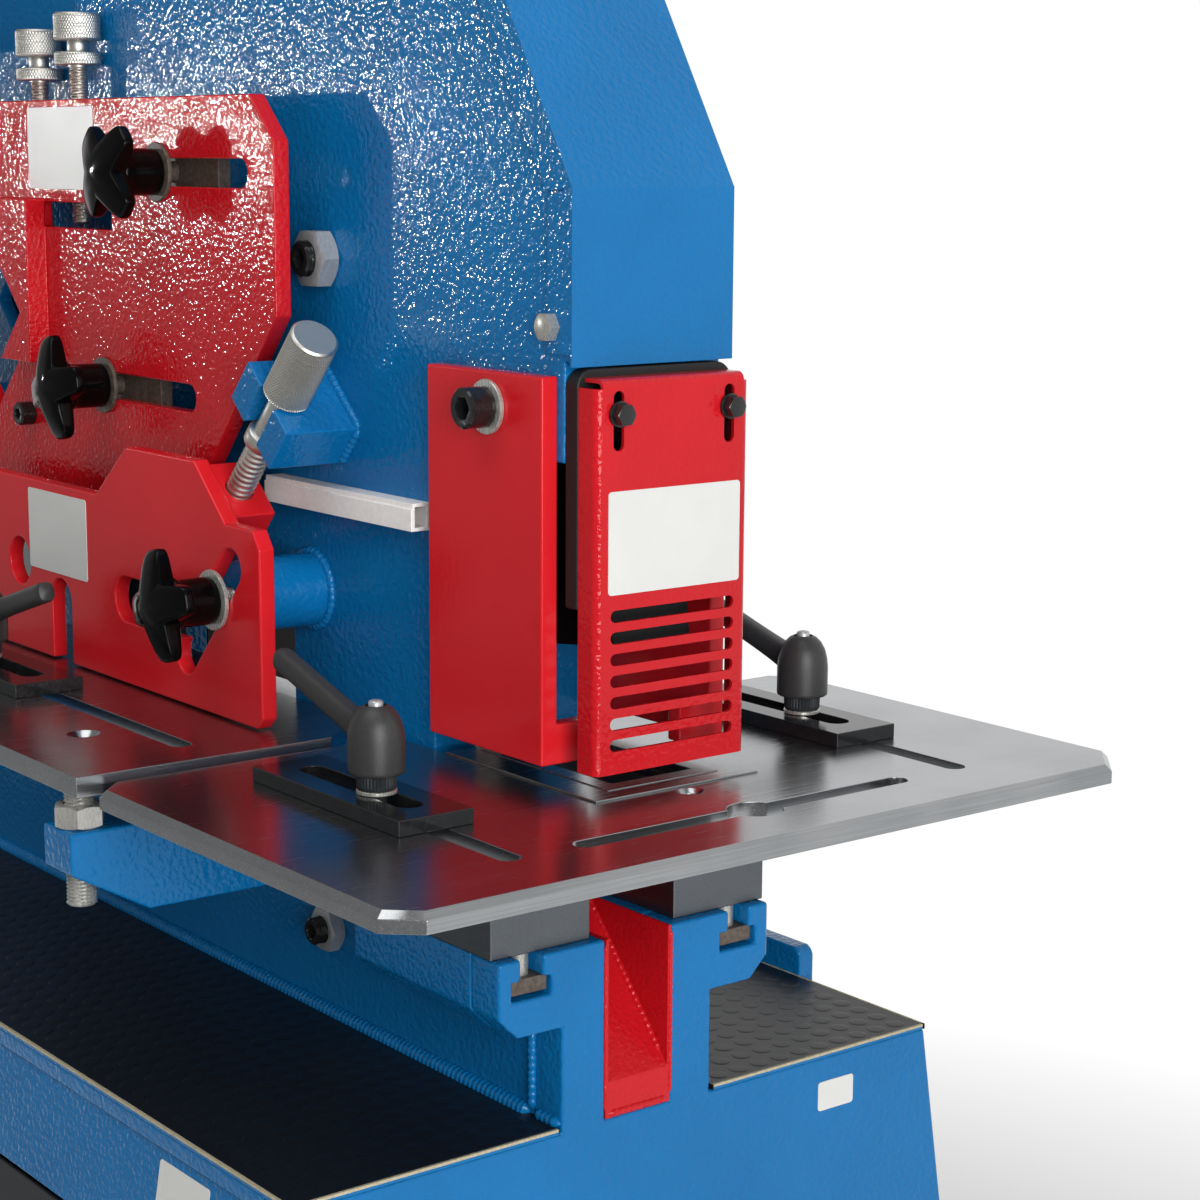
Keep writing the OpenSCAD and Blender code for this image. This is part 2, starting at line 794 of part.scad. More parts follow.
// Lower flat blade, fixed angle blade and the inserts round the notch
module fixed_blades() {
  color(steel) {
    block([blade_x0, -yb + 3, zt - blade_h], [blade_x1, -plate_gap / 2, zt]);
    slab_y(-plate_gap / 2 - 18, -plate_gap / 2) difference() {
      diamond_2d(angle_x, angle_z, angle_side + 60);
      diamond_2d(angle_x, angle_z, angle_side);
    }
    for (y = [-1, 1]) block([die_x0 + 8, y > 0 ? notch_w / 2 + 1 : -notch_w / 2 - insert_w - 1, die_low + 5],
      [punch_x1 + 1, y > 0 ? notch_w / 2 + insert_w + 1 : -notch_w / 2 - 1, die_face]);
    block([punch_x1 + 1, -notch_w / 2 - insert_w - 1, die_low + 5],
      [punch_x1 + 1 + insert_w, notch_w / 2 + insert_w + 1, die_face]);
  }
}

insert_w = 10;
die_low = zt - table_t;
die_face = zt + 1.5;

module notch_die() {
  color(steel) difference() {
    block([die_x0, -die_w / 2, die_low], [die_x1, die_w / 2, zt + 1]);
    block([punch_x0 - 2, -notch_w / 2 - 1, die_low - 1], [punch_x1 + 1, notch_w / 2 + 1, zt + 2]);
    block([die_x0 + 8, -notch_w / 2 - insert_w - 1, die_low + 5],
      [punch_x1 + 1 + insert_w, notch_w / 2 + insert_w + 1, zt + 2]);
  }
}

// Notching table

function table_points() = let (w = table_w / 2, c = table_corner, d = table_corner * 0.6) [
  [table_x0 + d, -w], [table_x1 - d, -w], [table_x1, -w + d * 1.1], [table_x1, w - c],
  [table_x1 - c, w], [table_x0 + d, w], [table_x0, w - d], [table_x0, -w + d]
];

module notch_table() {
  points = table_points();
  color(steel) difference() {
    union() {
      slab_z(zt - table_t, zt - table_bevel) polygon(points);
      bevelled_top(points, inset(points, table_bevel));
    }
    slab_z(zt - table_t - 1, zt + 1) {
      translate([table_x0 - 1, -die_w / 2 - free])
        square([die_x1 - table_x0 + 1 + free, die_w + 2 * free]);
      for (y = [-stop_y, stop_y]) slot_2d([table_x0 + 40, y], [xe + 83, y], table_slot);
      slot_2d([xe + 86, -102], [xe + 86, 99], table_slot);
      translate([xe + 86, 3]) circle(d = 28);
    }
    rod_z(xe + 40, 0, zt - table_t - 1, zt + 1, 9);
    translate([xe + 40, 0, zt - 2.5]) cylinder(h = 2.51, d1 = 9, d2 = 14);
  }
}

// Corners of an outline moved inwards by d, each where its two moved sides meet
function inset(points, d) = let (n = len(points)) [
  for (i = [0 : n - 1]) let (
    u = side_way(points[(i + n - 1) % n], points[i]),
    v = side_way(points[i], points[(i + 1) % n])
  ) points[i] + d / (1 + u * v) * [-u[1] - v[1], u[0] + v[0]]
];

function side_way(a, b) = (b - a) / norm(b - a);

// The table's upper layer, from its full outline to the inset one
module bevelled_top(outer, inner) {
  n = len(outer);
  low = [for (p = outer) [p[0], p[1], zt - table_bevel]];
  high = [for (p = inner) [p[0], p[1], zt]];
  sides = [for (i = [0 : n - 1]) [i, n + i, n + (i + 1) % n, (i + 1) % n]];
  polyhedron(concat(low, high), concat([[for (i = [0 : n - 1]) i], [for (i = [1 : n]) 2 * n - i]], sides));
}

module table_blocks() {
  color(graphite) both_sides() difference() {
    block([inner_x - rail_l, plate_gap / 2 + 6, rail_z], [xe - 6, yb + rail_w + 1, zt - table_t]);
    for (x = [inner_x - 40, xe - 14]) rod_z(x, slot_y, rail_z - 1, rail_z + 25, slot_mouth - 2 + 2 * run);
    block([inner_x - rail_l - 1, 0, rail_z - 1], [throat_x + free, yb + free, zt]);
  }
}

// Guards

module side_guard() {
  x1 = xe - 5;
  x0 = x1 - guard_l;
  low = zt + 12;
  color(red) {
    difference() {
      slab_y(-yb - guard_t, -yb) polygon([[x0, low], [x1, low], [x1, zt + 208], [x0, zt + 208]]);
      rod_y(guard_screw[0], guard_screw[1], -yb - guard_t - 1, -yb + 1, guard_screw_d + 0.6);
    }
    block([x1 - guard_t, -yb - 1, low], [x1, -notch_w / 2 - 5, low + 21]);
  }
}

module front_guard() {
  side_guard();
}

module rear_guard() {
  mirror([0, 1, 0]) side_guard();
}

guard_face = xe + skirt_t + free + 14.7;
guard_low = zt + 11;
guard_top = zt + 208;

module end_guard() {
  w = end_guard_w / 2;
  t = end_guard_t;
  back = xe + skirt_t + free;
  color(red) difference() {
    union() {
      slab_x(guard_face - t, guard_face) round_rect([-w, guard_low], [w, guard_top], 3);
      both_sides() block([back, w - t, guard_low], [guard_face - t + 0.5, w, guard_top - 4]);
      block([back, -w + 4, guard_top - t], [guard_face - t + 0.5, w - 4, guard_top]);
    }
    slab_x(guard_face - t - 1, guard_face + 1) {
      for (i = [0 : vent_count - 1])
        translate([0, guard_low + 14.5 + i * vent_pitch]) slot_2d([-36.8, 0], [36.8, 0], 6.2);
      for (y = [-guard_bolt_y, guard_bolt_y])
        slot_2d([y, guard_bolt_z - 15], [y, guard_bolt_z + 8], guard_bolt_d + 0.6);
    }
  }
}

module rubber_skirt() {
  color("#1B1B1C") difference() {
    slab_x(xe, xe + skirt_t) difference() {
      round_rect([-49.5, zt + 70], [49.5, skirt_top], 9);
      translate([-60, zt + 69]) square([120, 24]);
      translate([-31, zt + 92]) square([62, 84]);
    }
    for (y = [-1, 1]) rod_x(y * guard_bolt_y, guard_bolt_z, xe - 1, xe + skirt_t + 1, guard_bolt_d + 2 * run);
  }
}

module scrap_chute() {
  wall = 2;
  half = plate_gap / 2 - free;
  x0 = throat_x + 4;
  z0 = rail_z - 8;
  z1 = rail_z - 98;
  color(red) {
    both_sides() slab_y(half - wall, half)
      polygon([[x0, z0], [x0, z0 - 8], [xe, z1], [xe, rail_z], [x0, rail_z]]);
    slab_y(-half, half) polygon([
      [xe - 102, rail_z + 30], [xe - 94, rail_z + 30], [xe, z1 + 20], [xe, z1], [xe - 8, z1], [xe - 8, z1 + 20]
    ]);
  }
}

// Stops and clamp levers, drawn round the lever's axis

// A stop bar with its washer and the nut plate under a table of thickness t
module stop_bar(left, t) {
  color(black) {
    slab_z(0, bar_t) difference() {
      translate([-left, -bar_w / 2]) square([bar_l, bar_w]);
      slot_2d([-left + 24, 0], [bar_l - left - 24, 0], lever_stud + 4);
    }
    difference() {
      rod_z(0, 0, bar_t, bar_t + 2, 20);
      rod_z(0, 0, bar_t - 1, bar_t + 3, lever_stud + 2 * run);
    }
    difference() {
      block([-16, -16, -t - 9], [16, 16, -t - 0.1]);
      rod_z(0, 0, -t - 10, 0, lever_stud + 2 * run);
    }
  }
}

// A clamp lever: stud, neck, domed hub and a rising arm along -X
module clamp_lever(t) {
  low = bar_t + 2.1;
  color("#2A2A2A") {
    rod_z(0, 0, -t - 12, low + 4, lever_stud);
    rod_z(0, 0, low, low + 9, 19);
    translate([0, 0, low + 8]) rotate_extrude() polygon([
      [0, 0], [13.8, 0], [14.8, 1.5], [14.4, 14], [13.6, 22], [12, 27.5], [9.4, 31.2], [6, 33.4], [3.8, 33.8],
      [3.8, 36.2], [0, 36.2]
    ]);
    hull() {
      translate([-7, 0, low + 26]) rotate([0, -90, 0]) cylinder(h = 1, d = 16, $fn = 24);
      translate([-lever_arm + 7, 0, low + 51]) sphere(d = 12.5, $fn = 24);
    }
  }
}

module stop_bar_front() {
  translate([stop_front_x + 16, -stop_y - 0.5, zt]) stop_bar(bar_l - 52, table_t);
}

module lever_front() {
  translate([stop_front_x + 16, -stop_y - 0.5, zt]) clamp_lever(table_t);
}

module stop_bar_rear() {
  translate([stop_rear_x + 15, stop_y, zt]) stop_bar(bar_l - 52, table_t);
}

module lever_rear() {
  translate([stop_rear_x + 15, stop_y, zt]) clamp_lever(table_t);
}

module stop_bar_shear() {
  translate([stop_shear_x, stop_shear_y, shear_z]) stop_bar(47, shear_t);
}

module lever_shear() {
  translate([stop_shear_x, stop_shear_y, shear_z]) rotate([0, 0, 180]) clamp_lever(shear_t);
}

// Shear table on its arms

arm_w = 32;
arm_x = [shear_x1 - 2 - arm_w, shear_x0 + 30];
arm_top = zt - 27;

module shear_table() {
  color(steel) difference() {
    slab_z(shear_z - shear_t, shear_z) difference() {
      polygon([[shear_x0, -shear_out], [shear_x1, -shear_out], [shear_x1, -yb - 38],
        [shear_x1 - 36, -yb - 2], [shear_x0, -yb - 2]]);
      slot_2d([shear_x0 + 40, stop_shear_y], [shear_x1 - 34, stop_shear_y], table_slot);
    }
    for (x = [shear_x0 + 80, shear_x1 - 88]) {
      rod_z(x, 48 - shear_out, shear_z - shear_t - 1, shear_z + 1, 9);
      translate([x, 48 - shear_out, shear_z - 4.5]) cylinder(h = 4.51, d1 = 9, d2 = 18);
    }
  }
}

module table_arms() {
  tip = 243;
  color(blue) for (x = arm_x) {
    difference() {
      slab_x(x, x + arm_w) polygon([[-tip, arm_top - 22], [-tip + 44, arm_top - 47], [-yb, arm_top - 47],
        [-yb, arm_top], [-tip, arm_top]]);
      rod_z(x + arm_w / 2, 10 - shear_out, arm_top - 80, arm_top + 1, 16 + 2 * run);
    }
    block([x, -yb - 34, arm_top], [x + arm_w, -yb, shear_z - shear_t]);
  }
}

// Hold-down plates

// Points along the clamp screw: s up its axis from the lug's face, n square to it
module on_clamp() {
  translate(clamp_at) rotate([0, clamp_tilt, 0]) children();
}

hold_low = zt + 4;
hold_x1 = knob_low[0] + 50;

module lower_hold_down() {
  x0 = -40;
  z1 = zt + 114;
  hump = zt + 146;
  k = knob_low;
  dir = [clamp_dir[0], clamp_dir[2]];
  color(red) {
    slab_y(-hold_front, -hold_y - 0.2) difference() {
      polygon([[x0, hold_low], [hold_x1 - 6, hold_low], [hold_x1, hold_low + 6], [hold_x1, z1 - 10],
        [hold_x1 - 7, z1], [k[0] + 13, z1], [k[0] - 21, hump], [k[0] - 102, hump], [k[0] - 142, z1],
        [x0, z1]]);
      slot_2d(k + 27 * dir, k - 50 * dir, stud_d + 10);
      slot_2d([k[0] - 107, zt + 55], [k[0] - 20, zt + 55], 27);
      translate([k[0] - 250, zt + 60]) circle(d = 30);
      slot_2d([k[0] - 192.5, zt - 20], [k[0] - 192.5, zt + 42], 27);
    }
    difference() {
      on_clamp() block([-20, -20, -26], [20, 15 - 0.2, 0]);
      on_clamp() translate([0, 0, -40]) cylinder(h = 60, d = clamp_d + 2 * run);
      block([0, -hold_front - 20, zt], [500, -hold_y - 0.2, zt + 200]);
    }
  }
}

module upper_hold_down() {
  k = knob_top;
  x1 = k[0] + 130;
  x0 = -130;
  top = zt + 347;
  color(red) {
    slab_y(-upper_front, -upper_back) difference() {
      polygon([
        [x0, zt + 98], [x1 - 112, zt + 98], [x1, zt + 227], [x1, top - 25], [x1 - 25, top], [x0, top]
      ]);
      slot_2d([k[0] - 80, k[1]], [k[0] + 94, k[1]], stud_d + 4);
      slot_2d([knob_mid[0] - 80, knob_mid[1]], [knob_mid[0] + 105, knob_mid[1]], stud_d + 4);
      translate([k[0] - 161, zt + 269]) square([100, 15.5]);
      diamond_2d(angle_x, angle_z, angle_side + 6);
      translate(hold_screw) circle(d = hold_screw_d + 2 * run);
    }
    slab_y(-hold_y + 4.5, -upper_front) difference() {
      translate([x0, zt + 184]) square([x1 - x0 - 281, 102]);
      diamond_2d(angle_x, angle_z, angle_side + 6);
    }
    difference() {
      block([screw_x[0] - 40, -upper_back - 1, zt + 296], [screw_x[1] + 28, -yb - 1, top - 6]);
      for (x = screw_x) rod_z(x, screw_y, zt + 200, top + 1, screw_d + 2 * run);
    }
  }
}

screw_x = [-8, 47];
screw_y = -65.5;
screw_d = 12;

// Knurled screw with a lock ring, its head's top at z
module angle_screw(x, z) {
  color(zinc) {
    rod_z(x, screw_y, zt + 271, z - 24, screw_d);
    rod_z(x, screw_y, z - 32, z - 24, 29);
    rod_z(x, screw_y, z - 25, z - 16, 13);
    rod_z(x, screw_y, z - 17, z, 29);
  }
}

module angle_screw_left() {
  angle_screw(screw_x[0], zt + 392);
}

module angle_screw_right() {
  angle_screw(screw_x[1], zt + 400.5);
}

// Standoffs, the boss of the lower knob and the fork that holds the clamp screw
hold_screw = [7, zt + 149];
hold_screw_d = 8;
standoffs = [[-105, zt + 320], [-105, zt + 145], [250, zt + 240], hold_screw];

module hold_down_bracket() {
  color(blue) {
    difference() {
      rod_y(knob_low[0], knob_low[1], -hold_y, -yb, 42);
      rod_y(knob_low[0], knob_low[1], -hold_y - 1, -yb - 14, stud_d);
    }
    difference() {
      for (p = standoffs) rod_y(p[0], p[1], -upper_back, -yb, 28);
      rod_y(hold_screw[0], hold_screw[1], -upper_back - 1, -upper_back + 15, hold_screw_d + 2 * run);
    }
    difference() {
      intersection() {
        on_clamp() block([-27, -12, 48], [27, 60, 77]);
        block([0, -hold_y + 4, zt], [600, -yb, top_z]);
      }
      on_clamp() block([-8.5, -40, 40], [8.5, 0, 90]);
      on_clamp() translate([0, 0, 40]) cylinder(h = 50, d = 17);
    }
  }
}

// A finger bar behind the upper plate, with its stud and washer
module finger_bar(k) {
  color(graphite) {
    difference() {
      block([k[0] - 15, -upper_back + 0.1, k[1] - 15], [k[0] + 52, -upper_back + 8, k[1] + 15]);
      rod_y(k[0], k[1], -upper_back - 1, -upper_back + 9, stud_d);
    }
    rod_y(k[0], k[1], -upper_front - 28, -upper_back + 8, stud_d);
    difference() {
      rod_y(k[0], k[1], -upper_front - 2.6, -upper_front - 0.1, 34);
      rod_y(k[0], k[1], -upper_front - 3, -upper_front, stud_d);
    }
  }
}

module finger_bar_upper() {
  finger_bar(knob_top);
}

module finger_bar_middle() {
  finger_bar(knob_mid);
}

// A star knob whose hub ends at the washer in front of the plate face at y
module star_knob(k, y, turn) {
  back = y - 2.8;
  color(black) difference() {
    union() {
      rod_y(k[0], k[1], back - 34, back, 27);
      translate([k[0], back - 28, k[1]]) rotate([90, turn, 0]) linear_extrude(13) {
        circle(d = 32);
        for (a = [0 : 90 : 270]) rotate(a) slot_2d([0, 0], [knob_d / 2 - 7, 0], 14);
      }
    }
    rod_y(k[0], k[1], back - 26, back + 1, stud_d + 2 * run);
  }
}

module star_knob_upper() {
  star_knob(knob_top, -upper_front, 45);
}

module star_knob_middle() {
  star_knob(knob_mid, -upper_front, -15);
}

module star_knob_lower() {
  star_knob(knob_low, -hold_front, -14);
}

// Knurled handle, shank through the fork, collar and thread
module clamp_screw() {
  color(zinc) on_clamp() {
    translate([0, 0, -24]) cylinder(h = 63, d = clamp_d);
    translate([0, 0, 38]) cylinder(h = 9.6, d = 22);
    translate([0, 0, 46]) cylinder(h = 33, d = 15.6);
    translate([0, 0, 77.4]) cylinder(h = 46, d = 27);
  }
}

module channel_rail() {
  x1 = xe - 18 - guard_l;
  x0 = x1 - 152;
  color("#D9D6CE") difference() {
    block([x0, -yb - 12, zt + 118], [x1, -yb, zt + 133]);
    block([x0 - 1, -yb - 9.5, zt + 120], [x1 + 1, -yb - 2, zt + 131]);
    block([x0 - 1, -yb - 13, zt + 130], [x1 + 1, -yb - 11, zt + 134]);
  }
}

// Punch station

module punch_head() {
  half = yb + 10;
  low = punch_high;
  color(blue) difference() {
    block([head_x0, -half, low], [head_x1, half, low + 290]);
    rod_z(px, 0, low - 1, low + 40, ram_d + 2 * run);
    rod_z(px, 0, low + 35, low + 265, ram_d + 20);
  }
}

module punch_ram() {
  color(zinc) {
    rod_z(px, 0, punch_high - 30, punch_high + 120, ram_d);
    rod_z(px, 0, punch_high + 119, punch_high + 150, ram_d + 20 - 4 * run);
  }
}

module punch_tool() {
  tip = die_top + ram_stroke - 4;
  color(steel) {
    rod_z(px, 0, punch_high - 62, punch_high - 30, 60);
    translate([px, 0, punch_high - 76]) cylinder(h = 14.5, d1 = punch_d + 12, d2 = 48);
    rod_z(px, 0, tip, punch_high - 70, punch_d);
  }
}

module punch_die() {
  color(graphite) difference() {
    union() {
      block([head_x0 - 10, -70, punch_low], [head_x1 + 10, 70, zt + 8]);
      rod_z(px, 0, zt + 7, die_top, 60);
    }
    rod_z(px, 0, zt - 12, die_top + 1, punch_d + 1.2);
    rod_z(px, 0, punch_low - 1, zt - 10, 36);
  }
}

// A fork under the ram that holds the work down as the punch comes out
module stripper() {
  half = yb + 10;
  low = die_top + 12;
  color(red) {
    difference() {
      block([px - 55, -half - 12, low], [px + 45, half + 12, low + 14]);
      rod_z(px, 0, low - 1, low + 15, punch_d + 18);
      block([px - 60, -punch_d / 2 - 9, low - 1], [px, punch_d / 2 + 9, low + 15]);
    }
    both_sides() block([px - 22, half, low + 13], [px + 22, half + 12, punch_high + 70]);
  }
}

module punch_table() {
  x0 = -table_x1;
  x1 = px + 58;
  color(steel) slab_z(zt + 8, die_top - 2) difference() {
    round_rect([x0, -190], [x1, 190], 12);
    translate([px, 0]) circle(d = 64);
    for (y = [-130, 130]) slot_2d([x0 + 40, y], [x1 - 40, y], table_slot);
  }
}

module hydraulic_unit() {
  x0 = -inner_x + 30;
  x1 = x0 + 250;
  half = floor_w / 2 - 178;
  tank = floor_t + 0.5 * (body_low - floor_t);
  color(graphite) {
    block([x0, -half, floor_t], [x1, half, tank]);
    rod_z((x0 + x1) / 2, 0, tank, body_low - 130, 170);
    rod_z(x0 + 45, half - 55, tank, tank + 22, 50);
  }
}

// Controls

box_x = [-255, -115];
box_z = [zt + 380, zt + 500];
box_out = yb + 90;
button_d = 22;
button_z = zt + 435;

module control_box() {
  wall = 3;
  color(graphite) difference() {
    block([box_x[0], -box_out, box_z[0]], [box_x[1], -yb, box_z[1]]);
    block([box_x[0] + wall, -box_out + wall, box_z[0] + wall],
      [box_x[1] - wall, -yb - wall, box_z[1] - wall]);
    for (x = button_x) rod_y(x, button_z, -box_out - 1, -box_out + wall + 1, button_d + 2 * run);
  }
}

button_x = [box_x[0] + 40, box_x[1] - 40];

// A push button with its stem in the box's wall
module button(x, cap_d, cap_t, tone) {
  color(tone) {
    rod_y(x, button_z, -box_out - 8, -box_out + 9, button_d);
    rod_y(x, button_z, -box_out - 8 - cap_t, -box_out - 8, cap_d);
    rod_y(x, button_z, -box_out + 3 + free, -box_out + 6, button_d + 6);
  }
}

module stop_button() {
  button(button_x[0], 40, 14, red);
}

module start_button() {
  button(button_x[1], 27, 4, "#2E8B3D");
}

end_plates();
cabinet_shell();
deck_mats();
floor_plate();
cabinet_door();
door_latch();
front_frame_plate();
rear_frame_plate();
frame_spacers();
cross_bars();
rear_chute();
t_slot_rails();
end_cover();
top_cover();
black_screws();
zinc_fasteners();
pivot_bushes();
beam_pins();
shear_cylinder();
pull_rod();
beam();
moving_blades();
notch_punch();
fixed_blades();
notch_table();
table_blocks();
notch_die();
front_guard();
rear_guard();
end_guard();
rubber_skirt();
scrap_chute();
stop_bar_front();
stop_bar_rear();
lever_front();
lever_rear();
shear_table();
table_arms();
stop_bar_shear();
lever_shear();
lower_hold_down();
upper_hold_down();
hold_down_bracket();
finger_bar_upper();
finger_bar_middle();
star_knob_upper();
star_knob_middle();
star_knob_lower();
clamp_screw();
angle_screw_left();
angle_screw_right();
channel_rail();
punch_head();
punch_ram();
punch_tool();
punch_die();
stripper();
punch_table();
hydraulic_unit();
control_box();
stop_button();
start_button();
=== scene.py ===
# %% [markdown]
# # A hydraulic ironworker, dressed over its CAD frame
#
# The machine cuts, notches and punches steel bar. The solids come from CAD and carry the joints.
# Here each solid gets the finish of the real piece, and the pieces whose look depends on fine shape
# (knobs, clamp levers, knurled screws, nuts, mats, welds) are worked out again as surfaces.

# %% Frame
import json
import math

import bmesh
import bpy
import numpy as np
from mathutils import Matrix, Vector


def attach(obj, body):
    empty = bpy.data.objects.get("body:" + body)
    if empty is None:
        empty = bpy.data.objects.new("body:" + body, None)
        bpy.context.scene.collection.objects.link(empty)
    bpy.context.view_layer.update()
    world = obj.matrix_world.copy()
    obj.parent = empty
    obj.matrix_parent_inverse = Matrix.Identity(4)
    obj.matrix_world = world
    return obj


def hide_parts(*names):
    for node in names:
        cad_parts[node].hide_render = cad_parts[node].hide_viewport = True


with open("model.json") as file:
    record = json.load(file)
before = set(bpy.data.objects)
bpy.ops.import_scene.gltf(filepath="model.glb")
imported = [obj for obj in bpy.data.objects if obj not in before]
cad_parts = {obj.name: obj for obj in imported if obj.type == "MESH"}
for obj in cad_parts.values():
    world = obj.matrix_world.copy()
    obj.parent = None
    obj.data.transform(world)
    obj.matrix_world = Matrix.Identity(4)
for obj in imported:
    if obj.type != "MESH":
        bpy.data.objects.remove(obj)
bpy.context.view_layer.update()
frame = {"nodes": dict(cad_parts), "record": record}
MM = 0.001
scene = bpy.context.scene

# %% [markdown]
# ## Colours and nodes
#
# Paint charts give colours as sRGB hex values, and the renderer works in linear light, so one function
# turns one into the other. A second small function adds a shader node, sets its sockets and links them.

# %% Colour and node helpers
def paint(hex_code):
    """sRGB hex to linear: c / 12.92 below 0.04045, else ((c + 0.055) / 1.055) to the power 2.4."""
    c = np.array([int(hex_code[i:i + 2], 16) / 255 for i in (1, 3, 5)])
    linear = np.where(c <= 0.04045, c / 12.92, ((c + 0.055) / 1.055) ** 2.4)
    return (*linear.tolist(), 1.0)


def add(tree, kind, links=None, sockets=None, **settings):
    """One node of a kind, with its settings, its socket values and its incoming links."""
    node = tree.nodes.new(kind)
    for key, value in settings.items():
        setattr(node, key, value)
    for key, value in (sockets or {}).items():
        node.inputs[key].default_value = value
    for key, source in (links or {}).items():
        tree.links.new(source, node.inputs[key])
    return node


def new_material(name):
    """An empty node material with its Principled shader and its Object coordinates."""
    material = bpy.data.materials.new(name)
    material.use_nodes = True
    tree = material.node_tree
    shader = tree.nodes["Principled BSDF"]
    place = add(tree, "ShaderNodeTexCoord").outputs["Object"]
    return material, tree, shader, place


def ramp(tree, fac, low, high, a=0.3, b=0.7):
    """A colour ramp from one colour at a to another at b."""
    node = add(tree, "ShaderNodeValToRGB", {"Fac": fac})
    node.color_ramp.elements[0].position = a
    node.color_ramp.elements[0].color = low
    node.color_ramp.elements[1].position = b
    node.color_ramp.elements[1].color = high
    return node.outputs["Color"]


def span(tree, fac, low, high):
    """A number carried from 0..1 to low..high."""
    node = add(tree, "ShaderNodeMapRange", {"Value": fac}, {"To Min": low, "To Max": high})
    return node.outputs["Result"]


materials = {}
print("helpers ready")

# %% [markdown]
# ## Powder coat
#
# The body, the base and the guards are sprayed with polyester powder and baked. The film pulls itself into
# "orange peel": soft bumps about 3 mm across under a gloss, so a lamp breaks into hundreds of small glints.
# The bumps could be modelled, but a noise at the size of the peel, used as bump, gives the same glints. The
# film is not equally thick everywhere, so a slow noise varies the colour slightly. The side guards and the
# lower hold-down were sprayed on smooth plate and show almost no peel.

# %% Powder coats
def powder_coat(name, base, shade, peel_mm, depth_mm, roughness, gloss=0.24):
    """Gloss paint with orange peel: a noise at the peel's size drives the bump, a slow one the colour."""
    material, tree, shader, place = new_material(name)
    peel = add(tree, "ShaderNodeTexNoise", {"Vector": place},
               {"Scale": 1 / (peel_mm * MM), "Detail": 1.0, "Roughness": 0.45})
    slow = add(tree, "ShaderNodeTexNoise", {"Vector": place}, {"Scale": 9.0, "Detail": 3.0})
    bump = add(tree, "ShaderNodeBump", {"Height": peel.outputs["Fac"]},
               {"Strength": 1.0, "Distance": depth_mm * MM})
    tree.links.new(ramp(tree, slow.outputs["Fac"], paint(shade), paint(base)), shader.inputs["Base Color"])
    tree.links.new(bump.outputs["Normal"], shader.inputs["Normal"])
    shader.inputs["Roughness"].default_value = roughness
    shader.inputs["Specular IOR Level"].default_value = gloss
    materials[name] = material


powder_coat("blue_paint", "#0A6AA6", "#07629B", 3.2, 0.7, 0.08)
powder_coat("red_paint", "#BE161F", "#B3121B", 2.8, 0.5, 0.08)
powder_coat("smooth_red_paint", "#CE1E26", "#C41A22", 4.0, 0.12, 0.2)
print("powder coats:", sorted(materials))

# %% [markdown]
# ## Ground and machined steel
#
# The tables are surface ground: a wheel leaves fine straight scratches along one way, and the plate mirrors
# what stands on it, softly. A noise stretched along the grinding direction gives the scratches, in colour,
# roughness and bump. Milled blocks are darker and duller. Zinc plate is pale and half matte: its crystals
# scatter light, so on the nuts it is mixed with a plain diffuse grey. The pivot bushes are cast bronze.

# %% Bare metals
def ground_steel(name, base, scratch, line_mm, long_mm, along, roughness, depth_mm, metal=1.0):
    """Metal with straight scratches: noise squeezed to line_mm across and long_mm along one axis."""
    material, tree, shader, place = new_material(name)
    size = [1 / (line_mm * MM)] * 3
    size[along] = 1 / (long_mm * MM)
    turned = add(tree, "ShaderNodeMapping", {"Vector": place}, {"Scale": size})
    lines = add(tree, "ShaderNodeTexNoise", {"Vector": turned.outputs["Vector"]},
                {"Scale": 1.0, "Detail": 3.0, "Roughness": 0.6})
    blotch = add(tree, "ShaderNodeTexNoise", {"Vector": place}, {"Scale": 14.0, "Detail": 3.0})
    both = add(tree, "ShaderNodeMath", {0: lines.outputs["Fac"], 1: blotch.outputs["Fac"]}, operation="ADD")
    half = add(tree, "ShaderNodeMath", {0: both.outputs["Value"]}, {1: 0.5}, operation="MULTIPLY")
    bump = add(tree, "ShaderNodeBump", {"Height": lines.outputs["Fac"]},
               {"Strength": 0.6, "Distance": depth_mm * MM})
    tree.links.new(ramp(tree, half.outputs["Value"], paint(scratch), paint(base), 0.36, 0.62),
                   shader.inputs["Base Color"])
    tree.links.new(span(tree, lines.outputs["Fac"], roughness - 0.1, roughness + 0.1),
                   shader.inputs["Roughness"])
    tree.links.new(bump.outputs["Normal"], shader.inputs["Normal"])
    shader.inputs["Metallic"].default_value = metal
    materials[name] = material


ground_steel("ground_steel", "#A5A7A9", "#8F9294", 0.8, 70, 1, 0.24, 0.006)
ground_steel("milled_steel", "#6A6E72", "#5C6064", 1.2, 40, 0, 0.45, 0.03)
ground_steel("turned_zinc", "#D6D5CE", "#C4C3BC", 0.5, 4, 2, 0.42, 0.002)
ground_steel("zinc_plate", "#BDBCB6", "#A5A49E", 1.5, 6, 2, 0.28, 0.01, 0.6)
ground_steel("dark_zinc", "#B1B4B6", "#94979A", 1.5, 6, 2, 0.4, 0.01, 0.5)
ground_steel("bronze", "#B58A3C", "#A67D34", 0.6, 20, 1, 0.3, 0.02)
print("metals ready, materials so far:", len(materials))

# %% [markdown]
# ## Black finishes, plastics and rubber
#
# The stop bars are black oxide under oil: nearly a black mirror. The levers are zinc castings with a matte
# black coat of fine grain. The star knobs are moulded phenolic, polished. The mats and the skirt are rubber,
# and a cut mat shows its pale backing. Forged bars keep a brown scale, and the rail is satin anodised
# aluminium, which looks nearly white. One recipe serves them all: a grain, its depth and a roughness.

